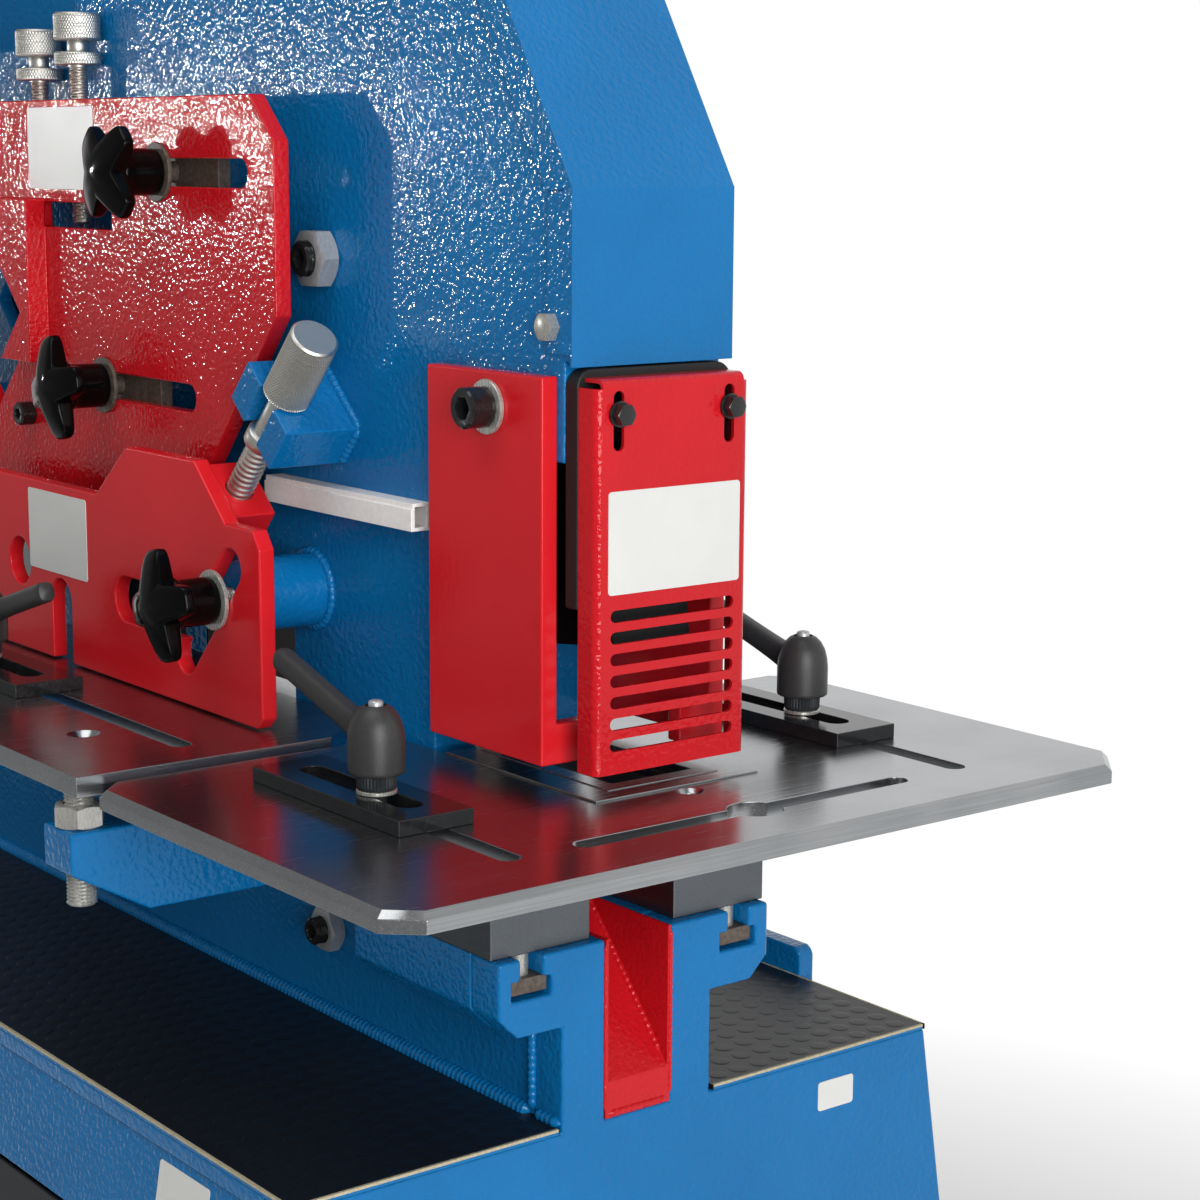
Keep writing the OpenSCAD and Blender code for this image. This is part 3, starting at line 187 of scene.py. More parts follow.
# %% Dark and moulded materials
def grained(name, base, shade, grain_mm, depth_mm, roughness, spread=0.05, gloss=0.5):
    """One colour broken up by a noise of the grain's size, with the same noise as bump."""
    material, tree, shader, place = new_material(name)
    grain = add(tree, "ShaderNodeTexNoise", {"Vector": place},
                {"Scale": 1 / (grain_mm * MM), "Detail": 3.0, "Roughness": 0.6})
    bump = add(tree, "ShaderNodeBump", {"Height": grain.outputs["Fac"]},
               {"Strength": 0.7, "Distance": depth_mm * MM})
    tree.links.new(ramp(tree, grain.outputs["Fac"], paint(shade), paint(base)), shader.inputs["Base Color"])
    tree.links.new(span(tree, grain.outputs["Fac"], roughness - spread, roughness + spread),
                   shader.inputs["Roughness"])
    tree.links.new(bump.outputs["Normal"], shader.inputs["Normal"])
    shader.inputs["Specular IOR Level"].default_value = gloss
    materials[name] = material


grained("black_oxide", "#1E1F20", "#161718", 3.0, 0.01, 0.16, 0.05, 0.4)
grained("lever_black", "#363636", "#282828", 0.8, 0.10, 0.42, 0.08, 0.35)
grained("phenolic", "#070707", "#050505", 6.0, 0.01, 0.1, 0.03, 0.1)
grained("mat_rubber", "#17181B", "#111215", 1.2, 0.05, 0.4, 0.06, 0.25)
grained("mat_edge", "#B9AF93", "#9C9378", 2.0, 0.05, 0.7)
grained("skirt_rubber", "#1A1A1B", "#131314", 1.0, 0.05, 0.5, 0.05, 0.3)
grained("dark_steel", "#2A2D30", "#202326", 1.6, 0.12, 0.42, 0.06, 0.2)
# Near-black steel, painted shade for the working parts inside the machine's throat
grained("painted_shade_steel", "#17181A", "#0F1011", 2.0, 0.02, 0.35, 0.06, 0.2)
grained("forge_scale", "#5E544B", "#3B322B", 2.5, 0.06, 0.5, 0.08, 0.4)
grained("red_button", "#C01A25", "#B31620", 5.0, 0.01, 0.25)
grained("green_button", "#2E8B3D", "#287C36", 5.0, 0.01, 0.25)
grained("rail_aluminium", "#ECEAE7", "#E2DFDC", 3.0, 0.01, 0.4, 0.05, 0.4)
grained("plate_foil", "#CFCFCC", "#CBCBC8", 30.0, 0.005, 0.35, 0.05, 0.3)
print("all materials:", len(materials))

# %% [markdown]
# ## CAD pieces with eased edges
#
# A CAD edge is perfectly sharp, and a painted or ground edge never is: it catches a thin line of light.
# The edges could be rounded in CAD, at the cost of much heavier solids. Here a copy of each visible solid is
# merged, its flat triangles are joined into whole faces, and a bevel modifier rounds the edges by about the
# real amount. Hidden solids keep their CAD mesh.

# %% Eased copies
SLOT_OF = {s["node"]: s["material_slot"] for s in frame["record"]["subparts"]}
BODY_OF = {n: b for b, nodes in frame["record"]["behaviour"]["bodies"].items() for n in nodes}


def link(obj, body, slot, material, *replaced):
    """Puts a piece into the scene, on its body, with its finish and the solids it stands for; the slot is not
    used.
    """
    scene.collection.objects.link(obj)
    obj.data.materials.clear()
    obj.data.materials.append(materials[material])
    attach(obj, body)
    if replaced:
        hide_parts(*replaced)


# Plates with a large opening: joined into one face, they would be filled across it
LEFT_IN_TRIANGLES = ("upper_hold_down", "cabinet_shell")


def eased(node, width_mm):
    """The node's solid, merged, its flat faces joined, edges over 30 degrees rounded by width_mm."""
    mesh = frame["nodes"][node].data.copy()
    for layer in ("custom_normal", "sharp_edge", "sharp_face"):
        if layer in mesh.attributes:
            mesh.attributes.remove(mesh.attributes[layer])
    work = bmesh.new()
    work.from_mesh(mesh)
    bmesh.ops.remove_doubles(work, verts=work.verts, dist=1e-5)
    if node not in LEFT_IN_TRIANGLES:
        bmesh.ops.dissolve_limit(work, angle_limit=math.radians(0.4), verts=work.verts, edges=work.edges)
    work.to_mesh(mesh)
    work.free()
    mesh.name = node + "_eased"
    mesh.shade_smooth()
    obj = bpy.data.objects.new(node + "_eased", mesh)
    edge = obj.modifiers.new("edge", "BEVEL")
    edge.width = width_mm * MM
    edge.segments = 2
    edge.limit_method = "ANGLE"
    edge.angle_limit = math.radians(30)
    edge.loop_slide = False
    edge.use_clamp_overlap = False
    flat = obj.modifiers.new("flat", "WEIGHTED_NORMAL")
    flat.weight = 100
    link(obj, BODY_OF[node], SLOT_OF[node], FINISH_OF.get(node, SLOT_OF[node]), node)


EASE_MM = {
    "end_plates": 2.0, "cabinet_shell": 1.2, "floor_plate": 1.5, "front_frame_plate": 1.5,
    "rear_frame_plate": 1.5, "t_slot_rails": 1.2, "table_arms": 1.5, "hold_down_bracket": 1.0,
    "punch_head": 3.0, "scrap_chute": 0.6, "upper_hold_down": 0.8, "stripper": 1.0, "rubber_skirt": 1.2,
    "notch_table": 0.4, "shear_table": 0.4, "notch_die": 0.3, "fixed_blades": 0.3, "punch_table": 0.8,
    "stop_bar_front": 0.5, "stop_bar_rear": 0.5, "stop_bar_shear": 0.5, "hydraulic_unit": 4.0,
    "control_box": 1.0, "cabinet_door": 0.8, "channel_rail": 0.3, "door_latch": 0.8, "stop_button": 1.0,
    "start_button": 1.0, "punch_ram": 1.0, "punch_tool": 0.6, "front_guard": 1.2, "rear_guard": 1.2,
    "lower_hold_down": 1.2, "table_blocks": 0.8, "punch_die": 0.8, "finger_bar_upper": 0.5,
    "finger_bar_middle": 0.5,
}
# Pieces whose finish differs from the material of their slot
FINISH_OF = {
    "front_guard": "smooth_red_paint", "rear_guard": "smooth_red_paint",
    "lower_hold_down": "smooth_red_paint", "table_blocks": "milled_steel", "punch_die": "milled_steel",
    "finger_bar_upper": "forge_scale", "finger_bar_middle": "forge_scale",
}
for node, width in EASE_MM.items():
    eased(node, width)
# The working parts inside are painted near black: painted shade for the dark throat they sit in
SHADED_INSIDE = ("beam", "moving_blades", "notch_punch", "rear_chute")
for node, obj in frame["nodes"].items():
    obj.data.materials.clear()
    obj.data.materials.append(materials["painted_shade_steel" if node in SHADED_INSIDE else SLOT_OF[node]])
print("eased copies:", len(EASE_MM), "of", len(frame["nodes"]), "solids")

# %% [markdown]
# ## Surfaces from arrays
#
# The turned, moulded and threaded pieces are grids: a shape is a function of two parameters, worked out for
# the whole grid at once. One function puts grids into a mesh, and one stands a shape up along any axis.

# %% Grid helpers
def stand(points, origin, axis, hint=(0, 0, 1)):
    """Local x, y, z carried into the machine's frame: z along axis, x square to it and nearest the hint."""
    z = np.array(axis, float)
    z /= np.linalg.norm(z)
    x = np.array(hint, float) - z * np.dot(hint, z)
    if np.linalg.norm(x) < 1e-6:
        x = np.array([1.0, 0, 0]) - z * z[0]
    x /= np.linalg.norm(x)
    y = np.cross(z, x)
    return points @ np.stack([x, y, z]) + np.array(origin, float)


def circle(count):
    """Angles round a full turn, as a column."""
    return np.linspace(0, 2 * np.pi, count, endpoint=False)[:, None]


def turned(angle, radius, height):
    """Points at radius times cosine and sine of the angle, and at the height."""
    height = np.broadcast_to(height, radius.shape)
    return np.stack([radius * np.cos(angle), radius * np.sin(angle), height], -1)


def lathe(profile, count, cut=None):
    """Rows of (radius, height) turned about z; cut(angle, radius, height) may change the radius."""
    profile = np.array(profile, float)
    angle = circle(count)
    radius = np.broadcast_to(profile[:, 0], (count, len(profile)))
    height = np.broadcast_to(profile[:, 1], (count, len(profile)))
    if cut is not None:
        radius = cut(angle, radius, height)
    return turned(angle, radius, height)


def grid_faces(rows, columns, first):
    """Quads of a grid with its rows joined round, columns left open, numbered from first."""
    i = np.arange(rows)[:, None]
    j = np.arange(columns - 1)[None, :]
    a = i * columns + j
    b = ((i + 1) % rows) * columns + j
    return np.stack([a, b, b + 1, a + 1], -1).reshape(-1, 4) + first


def make(name, grids, body, slot, material, *replaced, sharp=40):
    """One piece from grids of points in mm, merged at its seams and poles, smooth below sharp degrees."""
    points, faces, first = [], [], 0
    for grid in grids:
        rows, columns = grid.shape[:2]
        points.append(grid.reshape(-1, 3) * MM)
        faces.append(grid_faces(rows, columns, first))
        first += rows * columns
    mesh = bpy.data.meshes.new(name)
    mesh.from_pydata(np.concatenate(points), [], np.concatenate(faces))
    work = bmesh.new()
    work.from_mesh(mesh)
    bmesh.ops.remove_doubles(work, verts=work.verts, dist=2e-6)
    bmesh.ops.recalc_face_normals(work, faces=work.faces)
    work.to_mesh(mesh)
    work.free()
    mesh.shade_smooth()
    mesh.set_sharp_from_angle(angle=math.radians(sharp))
    link(bpy.data.objects.new(name, mesh), body, slot, material, *replaced)


def fine(profile, step):
    """The profile's polyline with points no more than step apart."""
    rows = [np.array(profile[0], float)]
    for a, b in zip(profile[:-1], profile[1:]):
        a, b = np.array(a, float), np.array(b, float)
        count = max(1, int(np.ceil(np.linalg.norm(b - a) / step)))
        rows.extend(a + (b - a) * k / count for k in range(1, count + 1))
    return np.array(rows)


print("grid helpers ready")

# %% [markdown]
# ## Star knobs
#
# A moulded cross knob clamps each finger bar. Four tapered arms spread from a domed middle and fall back
# towards their tips, so a hand can grip behind them. The outline is a radius over the angle from the nearest
# arm; the hub behind is turned and flares up to the star.

# %% Star knobs
FRONT = (0, -1, 0)
# The hub stands on a washer of this thickness
KNOB_WASHER = 2.8
KNOB_R, KNOB_WAIST = 31.5, 13.5
KNOB_BACK, KNOB_FRONT, KNOB_FALL = 24.5, 41.0, 8.0


def star(turn):
    """Arm sides at 14 / (sin + 0.2), blunt tips at the knob's radius; the front falls towards the tips."""
    angle = circle(256)
    off = (angle - turn + np.pi / 4) % (np.pi / 2) - np.pi / 4
    side = 14.0 / (np.abs(np.sin(off)) + 0.2)
    arm = (KNOB_R ** -14.0 + side ** -14.0) ** (-1 / 14)
    edge = (arm ** 8 + KNOB_WAIST ** 8) ** (1 / 8)
    t = np.linspace(0, np.pi, 34)[None, :]
    radius = np.sin(t) ** 0.32 * edge
    front = KNOB_FRONT - KNOB_FALL * (radius / KNOB_R) ** 1.25
    lift = np.sign(np.cos(t)) * np.abs(np.cos(t)) ** 0.38
    height = (front + KNOB_BACK) / 2 + lift * (front - KNOB_BACK) / 2
    return turned(angle, radius, height)


def star_knob(name, x, z, face, turn):
    """Hub of 27 mm on the washer that flares to 32 mm behind the star."""
    hub = [(6.05, 10), (6.05, 0), (12.6, 0), (13.4, 0.9), (13.5, 18), (13.8, 20), (14.5, 22), (15.6, 23.6),
           (16.0, 24.4), (15.6, 26), (13, 28), (0, 28)]
    grids = [lathe(fine(hub, 4), 56), star(math.radians(turn))]
    placed = [stand(g, (x, face - KNOB_WASHER, z), FRONT) for g in grids]
    make(name + "_moulded", placed, name, "phenolic", "phenolic", name, sharp=50)


UPPER_FACE, LOWER_FACE = -86.0, -114.0
BOSS_X, BOSS_Z = 292, 970
star_knob("star_knob_upper", 187, 1204, UPPER_FACE, 45)
star_knob("star_knob_middle", 112, 1075, UPPER_FACE, 14)
star_knob("star_knob_lower", BOSS_X, BOSS_Z, LOWER_FACE, 14)
print("three star knobs")

# %% [markdown]
# ## Clamp levers
#
# Each stop bar is held by an adjustable lever: a bullet-shaped hub over a toothed insert, a thick tapered arm
# that rises away from it, and a small retaining screw in the dome. The arm is a circle carried along a
# straight path that thins towards a rounded tip.

# %% Clamp levers
WASHER_R, WASHER_TOP = 10.15, 10.1
UPRIGHT = (0, 0, 1)
NOTCH_TOP, SHEAR_TOP = 900, 903


def washer(bore, outer, low, high):
    """A flat ring with lightly rounded rims."""
    rim = 0.4
    return lathe([(bore, low), (outer - rim, low), (outer, low + rim), (outer, high - rim),
                  (outer - rim, high), (bore, high), (bore, low)], 48)


def tube(path, radii, count, squash):
    """A rounded square of the given radius at each point of a path in the x-z plane, squashed sideways."""
    path, radii = np.array(path, float), np.array(radii, float)
    along = np.gradient(path, axis=0)
    along /= np.linalg.norm(along, axis=1, keepdims=True)
    side = np.array([0.0, 1.0, 0.0])
    up = np.cross(along, side)
    angle = circle(count)[:, None]
    full = (np.abs(np.cos(angle)) ** 3 + np.abs(np.sin(angle)) ** 3) ** (-1 / 3)
    return path + radii[:, None] * full * (np.cos(angle) * side * squash + np.sin(angle) * up)


def teeth(angle, radius, height):
    """36 shallow teeth round the insert's outer wall."""
    return radius + np.where(radius > 9, 0.25 * np.cos(36 * angle), 0)


def clamp_lever(name, x, y, table_z, side, under):
    """Neck, bullet hub, arm and screw; side is 1 for an arm along -X, under is the stud's reach."""
    bell = [(5.05, 8), (13.2, 8), (14.0, 8.6), (14.2, 10), (14.2, 24), (13.7, 29), (12.4, 34), (10.2, 38),
            (7.6, 40.6), (5.4, 41.7), (5.2, 39.6), (0, 39.6)]
    neck = [(5.0, 0.0), (9.0, 0), (9.7, 1.0), (9.9, 8.6), (5.0, 8.6)]
    stud = [(0, -under), (4.4, -under), (5.0, -under + 1), (5.0, 2), (0, 2)]
    s = np.linspace(0, 1, 40)
    reach = 4 + 87 * s
    rise = 25 + 26.5 * s
    thick = 6.0 + 2.4 * np.exp(-s / 0.12)
    tip = np.sqrt(np.clip(1 - np.clip((s - 0.95) / 0.05, 0, 1) ** 2, 0, 1))
    arm = tube(np.stack([-reach, 0 * s, rise], -1), thick * tip, 28, 0.92)
    grids = [lathe(bell, 56), arm]
    seat = (x, y, table_z + WASHER_TOP)
    hint = (side, 0, 0)
    make(name + "_cast", [stand(g, seat, UPRIGHT, hint) for g in grids], name, "lever_black", "lever_black",
         name, sharp=45)
    inner = [lathe(fine(neck, 1.5), 144, teeth), lathe(stud, 24)]
    make(name + "_insert", [stand(g, seat, UPRIGHT, hint) for g in inner], name, "lever_black", "dark_steel")
    screw = [(0, 44.1), (2.4, 44.1), (3.3, 43.7), (3.7, 42.9), (3.7, 39.4), (0, 39.4)]
    make(name + "_screw", [stand(lathe(screw, 24), seat, UPRIGHT)], name, "zinc_plate", "dark_zinc")
    bar = name.replace("lever", "stop_bar")
    make(bar + "_washer", [stand(washer(5.1, WASHER_R, -2.1, -0.05), seat, UPRIGHT)], bar, "zinc_plate",
         "zinc_plate", sharp=30)


clamp_lever("lever_front", 504, -144.5, NOTCH_TOP, 1, 32)
clamp_lever("lever_rear", 495, 144, NOTCH_TOP, 1, 32)
clamp_lever("lever_shear", 92, -162, SHEAR_TOP, -1, 33)
print("three clamp levers")

# %% [markdown]
# ## Knurled and threaded screws
#
# The clamp screw and the two upright screws have diamond-knurled heads: two families of crossing grooves.
# The height of a knurl is the smaller of two triangle waves that run opposite ways round the head. A thread
# is one triangle wave of (height over pitch minus angle over a full turn).

# %% Screws
def wave(t):
    """Triangle wave of period 1, from 0 at whole numbers to 1 half way."""
    return 1 - np.abs(2 * (t - np.floor(t)) - 1)


def knurl(teeth, pitch, depth, low, high):
    """Radius lowered where either groove family passes, between the two heights only."""
    def cut(angle, radius, height):
        turn = angle * teeth / (2 * np.pi)
        ridge = np.minimum(wave(turn + height / pitch), wave(turn - height / pitch))
        inside = (height > low) & (height < high) & (radius > 5)
        return radius - np.where(inside, depth * (1 - 2 * ridge).clip(0, 1), 0)
    return cut


def thread(pitch, depth, low, high):
    """Radius lowered by a triangle wave of height / pitch - angle / turn, between the two heights."""
    def cut(angle, radius, height):
        groove = wave(height / pitch - angle / (2 * np.pi))
        return radius - np.where((height > low) & (height < high) & (radius > 2), depth * groove, 0)
    return cut


def rod_profile(radius, low, high, chamfer=0.8):
    """A closed round bar from low to high with chamfered ends."""
    return [(0, low), (radius - chamfer, low), (radius, low + chamfer), (radius, high - chamfer),
            (radius - chamfer, high), (0, high)]


TILT = math.radians(42.8)
LUG = (272, -85, 1028)


def clamp_screw():
    """Along the tilted axis from the lug's face: thread to 38, collar to 47.6, shank, handle from 77.4."""
    grids = [
        lathe(fine(rod_profile(8.0, -24, 38.5, 1.2), 0.5), 40, thread(4.0, 1.1, -22.5, 37)),
        lathe(rod_profile(11.0, 38, 47.6, 1.0), 40),
        lathe(rod_profile(7.8, 46, 79, 0.5), 32),
        lathe(fine(rod_profile(13.5, 77.4, 123.4, 1.2), 0.45), 336, knurl(56, 3.0, 1.0, 79, 122)),
    ]
    axis = (math.sin(TILT), 0, math.cos(TILT))
    placed = [stand(g, LUG, axis) for g in grids]
    make("clamp_screw_turned", placed, "clamp_screw", "zinc_plate", "turned_zinc", "clamp_screw", sharp=60)


ANGLE_SCREW_Y, ANGLE_SCREW_LOW = -65.5, 1171


def angle_screw(name, x, top):
    """Thread up to a lock ring, then a neck and a knurled head that ends at top."""
    h = top - ANGLE_SCREW_LOW
    grids = [
        lathe(fine(rod_profile(6.0, 0, h - 24, 1.0), 0.4), 36, thread(1.75, 0.9, 1, h - 33)),
        lathe(fine(rod_profile(14.5, h - 32, h - 24, 0.8), 0.6), 300, knurl(50, 3.2, 0.6, h - 31, h - 25)),
        lathe(rod_profile(6.5, h - 25, h - 16, 0.3), 32),
        lathe(fine(rod_profile(14.5, h - 17, h, 1.2), 0.6), 300, knurl(50, 3.2, 0.6, h - 15.6, h - 1.6)),
    ]
    placed = [stand(g, (x, ANGLE_SCREW_Y, ANGLE_SCREW_LOW), UPRIGHT) for g in grids]
    make(name + "_turned", placed, name, "zinc_plate", "turned_zinc", name, sharp=60)


clamp_screw()
angle_screw("angle_screw_left", -8, 1292)
angle_screw("angle_screw_right", 47, 1300.5)
print("three knurled screws")

# %% [markdown]
# ## Nuts, bolts and washers
#
# A hexagon nut is a prism whose corners are turned off by a 30 degree cone, which leaves a curved edge on
# every flat. Its outline radius is half the flats over the cosine of the angle from the nearest flat, and
# the cone lowers the top where that radius is larger.

# %% Fasteners
def hexagon_outline(flats, count):
    """Angles, and half the flats over the cosine of the angle from the nearest flat."""
    angle = circle(count)
    nearest = (angle + np.pi / 6) % (np.pi / 3) - np.pi / 6
    return angle, flats / 2 / np.cos(nearest)


def hexagon(flats, low, high, bore, both_ends=False):
    """Side walls at the hexagon's radius, lowered by tan 30 times how far a corner stands out."""
    angle, corner = hexagon_outline(flats, 96)
    flat = np.full_like(corner, flats / 2 * 0.96)
    drop = (corner - flat) * math.tan(math.radians(30))
    inner = np.full_like(corner, bore)
    foot = low + (drop if both_ends else 0 * drop)
    radius = np.concatenate([inner, flat if both_ends else corner, corner, corner, flat, inner], 1)
    base, top = 0 * drop + low, 0 * drop + high
    height = np.concatenate([base, base, foot, high - drop, top, top], 1)
    return turned(angle, radius, height)


# The socket's round rim over its flats
WELL_RIM = 1.16


def key_well(key, outer, depth):
    """A hexagon socket from its round rim down to its floor, which closes to a point."""
    angle, wall = hexagon_outline(key, 48)
    radius = np.concatenate([np.full_like(wall, key / 2 * WELL_RIM), wall, wall, 0 * wall], 1)
    return turned(angle, radius, np.array([outer, outer - 0.3, outer - depth, outer - depth]))


def socket_screw(head_d, head_h, shank_d, length, key):
    """Cylinder head with a hexagon socket; z = 0 under the head, head upwards."""
    r, rim = head_d / 2, key / 2 * WELL_RIM
    head = [(0, 0), (r - 0.3, 0), (r, 0.4), (r, head_h - 1), (r - 1, head_h), (rim, head_h)]
    shank = rod_profile(shank_d / 2, -length, 0.2, 0.5)
    return [lathe(head, 48), key_well(key, head_h, head_h * 0.55), lathe(shank, 32)]


def set_screw(d, outer, inner, key, pitch):
    """A threaded pin with a hexagon socket in its outer end; z from inner to outer."""
    r, rim = d / 2, key / 2 * WELL_RIM
    body = [(0, inner), (r - 1, inner), (r, inner + 1), (r, outer - 1.2), (r - 1.2, outer), (rim, outer)]
    groove = thread(pitch, 0.6 * pitch, inner + 1, outer - 1.5)
    return [lathe(fine(body, 0.5), 48, groove), key_well(key, outer, 8)]


BODY_FACE = 50.0


def on_front(grids, x, z, out):
    """Shapes stood on the operator's side, out mm in front of the middle plane."""
    return [stand(g, (x, -out, z), FRONT) for g in grids]


black, zinc = [], []
GUARD_FACE, GUARD_BOLT_Y, GUARD_BOLT_Z = 555.0, 35.4, 1091
SET_SCREW_X, UPPER_SET_Z, LOWER_SET_Z = 310, 1158, 773
LEVELLING_X, LEVELLING_Y, ARM_TOP = (354, 28), -230, 873
T_BOLT_X, T_SLOT_Y, T_SLOT_TOP = (465, 516), 69, 816
guard_bolt = (washer(3, 6.5, 0.1, 2), hexagon(10, 2, 7, 0.0), lathe(rod_profile(3, -37, 0.2), 20))
cover_bolt = (hexagon(13, 0, 5.5, 0.0), lathe(rod_profile(4, -12, 0.2), 24))
levelling_pin = lathe(fine(rod_profile(8, -42, 19, 1.0), 0.5), 36, thread(2.0, 1.1, -41, 18))
levelling_bolt = (levelling_pin, hexagon(24, 0, 12, 8, True))
boss_stud = lathe(fine(rod_profile(6, -36, 27, 0.8), 0.5), 32, thread(1.75, 0.9, -35, 26))
t_bolt = lathe(rod_profile(6, -18, 24, 0.8), 24)
for side in (-1, 1):
    seat, out = (480, side * 62.5, 1090), (0, side, 0)
    black += [stand(g, seat, out) for g in socket_screw(21, 14, 14, 29, 11)]
    black += [stand(g, (GUARD_FACE, side * GUARD_BOLT_Y, GUARD_BOLT_Z), (1, 0, 0)) for g in guard_bolt]
    zinc += [stand(washer(7.3, 14, -2.5, 0), seat, out)]
    zinc += [stand(g, (521, side * 51.5, 1132), out) for g in cover_bolt]
    zinc += [stand(t_bolt, (x, side * T_SLOT_Y, T_SLOT_TOP), UPRIGHT) for x in T_BOLT_X]
black += on_front(socket_screw(15, 10, 8, 24, 7), 7, 1049, -UPPER_FACE)
black += on_front(set_screw(20, 17, -28, 10, 2.0), SET_SCREW_X, UPPER_SET_Z, BODY_FACE)
black += on_front(set_screw(16, 16, -28, 8, 2.0), SET_SCREW_X, LOWER_SET_Z, BODY_FACE)
nuts = on_front([hexagon(30, 0, 12, 10.05, True)], SET_SCREW_X, UPPER_SET_Z, BODY_FACE)
nuts += on_front([hexagon(24, 0, 9, 8.05, True)], SET_SCREW_X, LOWER_SET_Z, BODY_FACE)
zinc += [stand(g, (x, LEVELLING_Y, ARM_TOP), UPRIGHT) for x in LEVELLING_X for g in levelling_bolt]
zinc += on_front([boss_stud, washer(6.2, 17, 0.1, 2.6)], BOSS_X, BOSS_Z, -LOWER_FACE)
make("lock_nuts", nuts, "base", "zinc_plate", "dark_zinc", sharp=35)
make("black_screws_turned", black, "base", "black_oxide", "black_oxide", "black_screws", sharp=35)
make("zinc_fasteners_turned", zinc, "base", "zinc_plate", "zinc_plate", "zinc_fasteners", sharp=35)
print("fasteners:", len(black), "black grids,", len(zinc), "bright grids")

# %% [markdown]
# ## T-bolt heads
#
# The T-slots hold steel T-bolts whose heads fill the slot's base. They were hot forged and left bare, so they
# are brown with scale.

# %% T-bolt heads
def bar_grid(low, high):
    """A block as one closed grid: two end rings at its ends, pulled to a point in the middle."""
    low, high = np.array(low, float), np.array(high, float)
    mid = (low + high) / 2
    ring = np.array([[low[1], low[2]], [high[1], low[2]], [high[1], high[2]], [low[1], high[2]]])
    point = np.broadcast_to(mid[1:], ring.shape)
    rows = [np.column_stack([np.full(4, x), r]) for x, r in
            ((low[0], point), (low[0], ring), (high[0], ring), (high[0], point))]
    return np.stack(rows, 1)


heads = [bar_grid((x - 10, y - 11.5, 796), (x + 10, y + 11.5, 804))
         for x in T_BOLT_X for y in (-T_SLOT_Y, T_SLOT_Y)]
make("t_bolt_heads", heads, "base", "zinc_plate", "forge_scale", sharp=30)
print("four T-bolt heads")

# %% [markdown]
# ## End guard
#
# The slotted guard is one sheet of 2 mm steel: slots punched flat, then both sides and the top folded back on
# a press brake, which leaves round bends and open corners. The sheet is followed from a side's edge round the
# bend to the rim of the slots, and the inside runs back along the same path.

# %% Bent sheet
GUARD_BACK, GUARD_LOW, GUARD_TOP, GUARD_HALF = 540.3, 911.0, 1108.0, 49.0
# Sheet thickness, outer bend radius, and a gap that keeps the two halves from merging
SHEET, BEND, JOINT = 2.0, 4.5, 0.005
VENT_FIRST, VENT_PITCH, VENT_COUNT, VENT_R, VENT_HALF = 14.5, 10.9, 7, 3.1, 36.8
SLOT_R, SLOT_LOW, SLOT_HIGH = 3.3, 1076, 1099
# Height between the slots' part of the sheet and the vents'
SPLIT = 1030.0
BEND_TURN = np.linspace(0, np.pi / 2, 7)


def sheet(outside, inside):
    """Two grids of points joined at their rims; both ends are drawn to the line midway between them."""
    middle = (outside + inside) / 2
    loop = np.concatenate([outside, inside[::-1]])
    shut = np.concatenate([middle, middle[::-1]])
    return np.concatenate([shut[:, :1], loop, shut[:, -1:]], 1)


def folded_side(rim, z):
    """One side, its bend and the face up to y = rim at each height z."""
    def path(r):
        x = np.concatenate([[GUARD_BACK], GUARD_FACE - BEND + r * np.sin(BEND_TURN), [GUARD_FACE - BEND + r]])
        y = np.concatenate([[r], r * np.cos(BEND_TURN), [0]])
        grid = np.zeros((len(x), len(z), 3))
        grid[..., 0], grid[..., 1], grid[..., 2] = x[:, None], BEND - GUARD_HALF - y[:, None], z
        grid[-1, :, 1] = rim
        return grid
    return sheet(path(BEND), path(BEND - SHEET))


half_turn = np.linspace(-np.pi / 2, np.pi / 2, 11)
vent_z, vent_rim = [GUARD_LOW], [-JOINT]
for middle in GUARD_LOW + VENT_FIRST + VENT_PITCH * np.arange(VENT_COUNT):
    vent_z += [middle - VENT_R, *(middle + VENT_R * np.sin(half_turn)), middle + VENT_R]
    vent_rim += [-JOINT, *(-VENT_HALF - VENT_R * np.cos(half_turn)), -JOINT]
vents = folded_side(np.array(vent_rim + [-JOINT]), np.array(vent_z + [SPLIT]))
lower, upper = half_turn[:6], half_turn[5:]
slot_z = np.array([SPLIT, *(SLOT_LOW + SLOT_R * np.sin(lower)), *(SLOT_HIGH + SLOT_R * np.sin(upper)),
                   GUARD_TOP - BEND])
slot_half = np.array([0, *(SLOT_R * np.cos(lower)), *(SLOT_R * np.cos(upper)), 0]).clip(JOINT)
slots = folded_side(-GUARD_BOLT_Y - slot_half, slot_z)
face = np.zeros((2, len(slot_z), 3))
face[..., 0], face[..., 2] = GUARD_FACE, slot_z
face[0, :, 1], face[1, :, 1] = slot_half - GUARD_BOLT_Y, GUARD_BOLT_Y - slot_half


def folded_top(r):
    """The fold along the top, r from its centre line, from corner to corner."""
    x = np.append(GUARD_FACE - BEND + r * np.cos(BEND_TURN), GUARD_BACK)
    z = np.append(GUARD_TOP - BEND + r * np.sin(BEND_TURN), GUARD_TOP - BEND + r)
    grid = np.zeros((len(x), 2, 3))
    grid[..., 0], grid[..., 1], grid[..., 2] = x[:, None], (-45.0, 45.0), z[:, None]
    return grid


sheets = [g * np.array([1, side, 1]) for g in (vents, slots) for side in (1, -1)]
sheets += [sheet(face, face - np.array([SHEET, 0, 0])), sheet(folded_top(BEND), folded_top(BEND - SHEET))]
make("end_guard_sheet", sheets, "end_guard", "red_paint", "red_paint", "end_guard", sharp=35)
print("end guard from", len(sheets), "sheets")

# %% [markdown]
# ## Deck mats
#
# The deck carries rubber mats with round "coin" studs, cut from a roll: the cut edge shows the pale backing.
# Each stud is a low dome of few faces, repeated on a square pitch.

# %% Mats
STUD_D, STUD_PITCH, STUD_H = 12.0, 15.0, 0.24


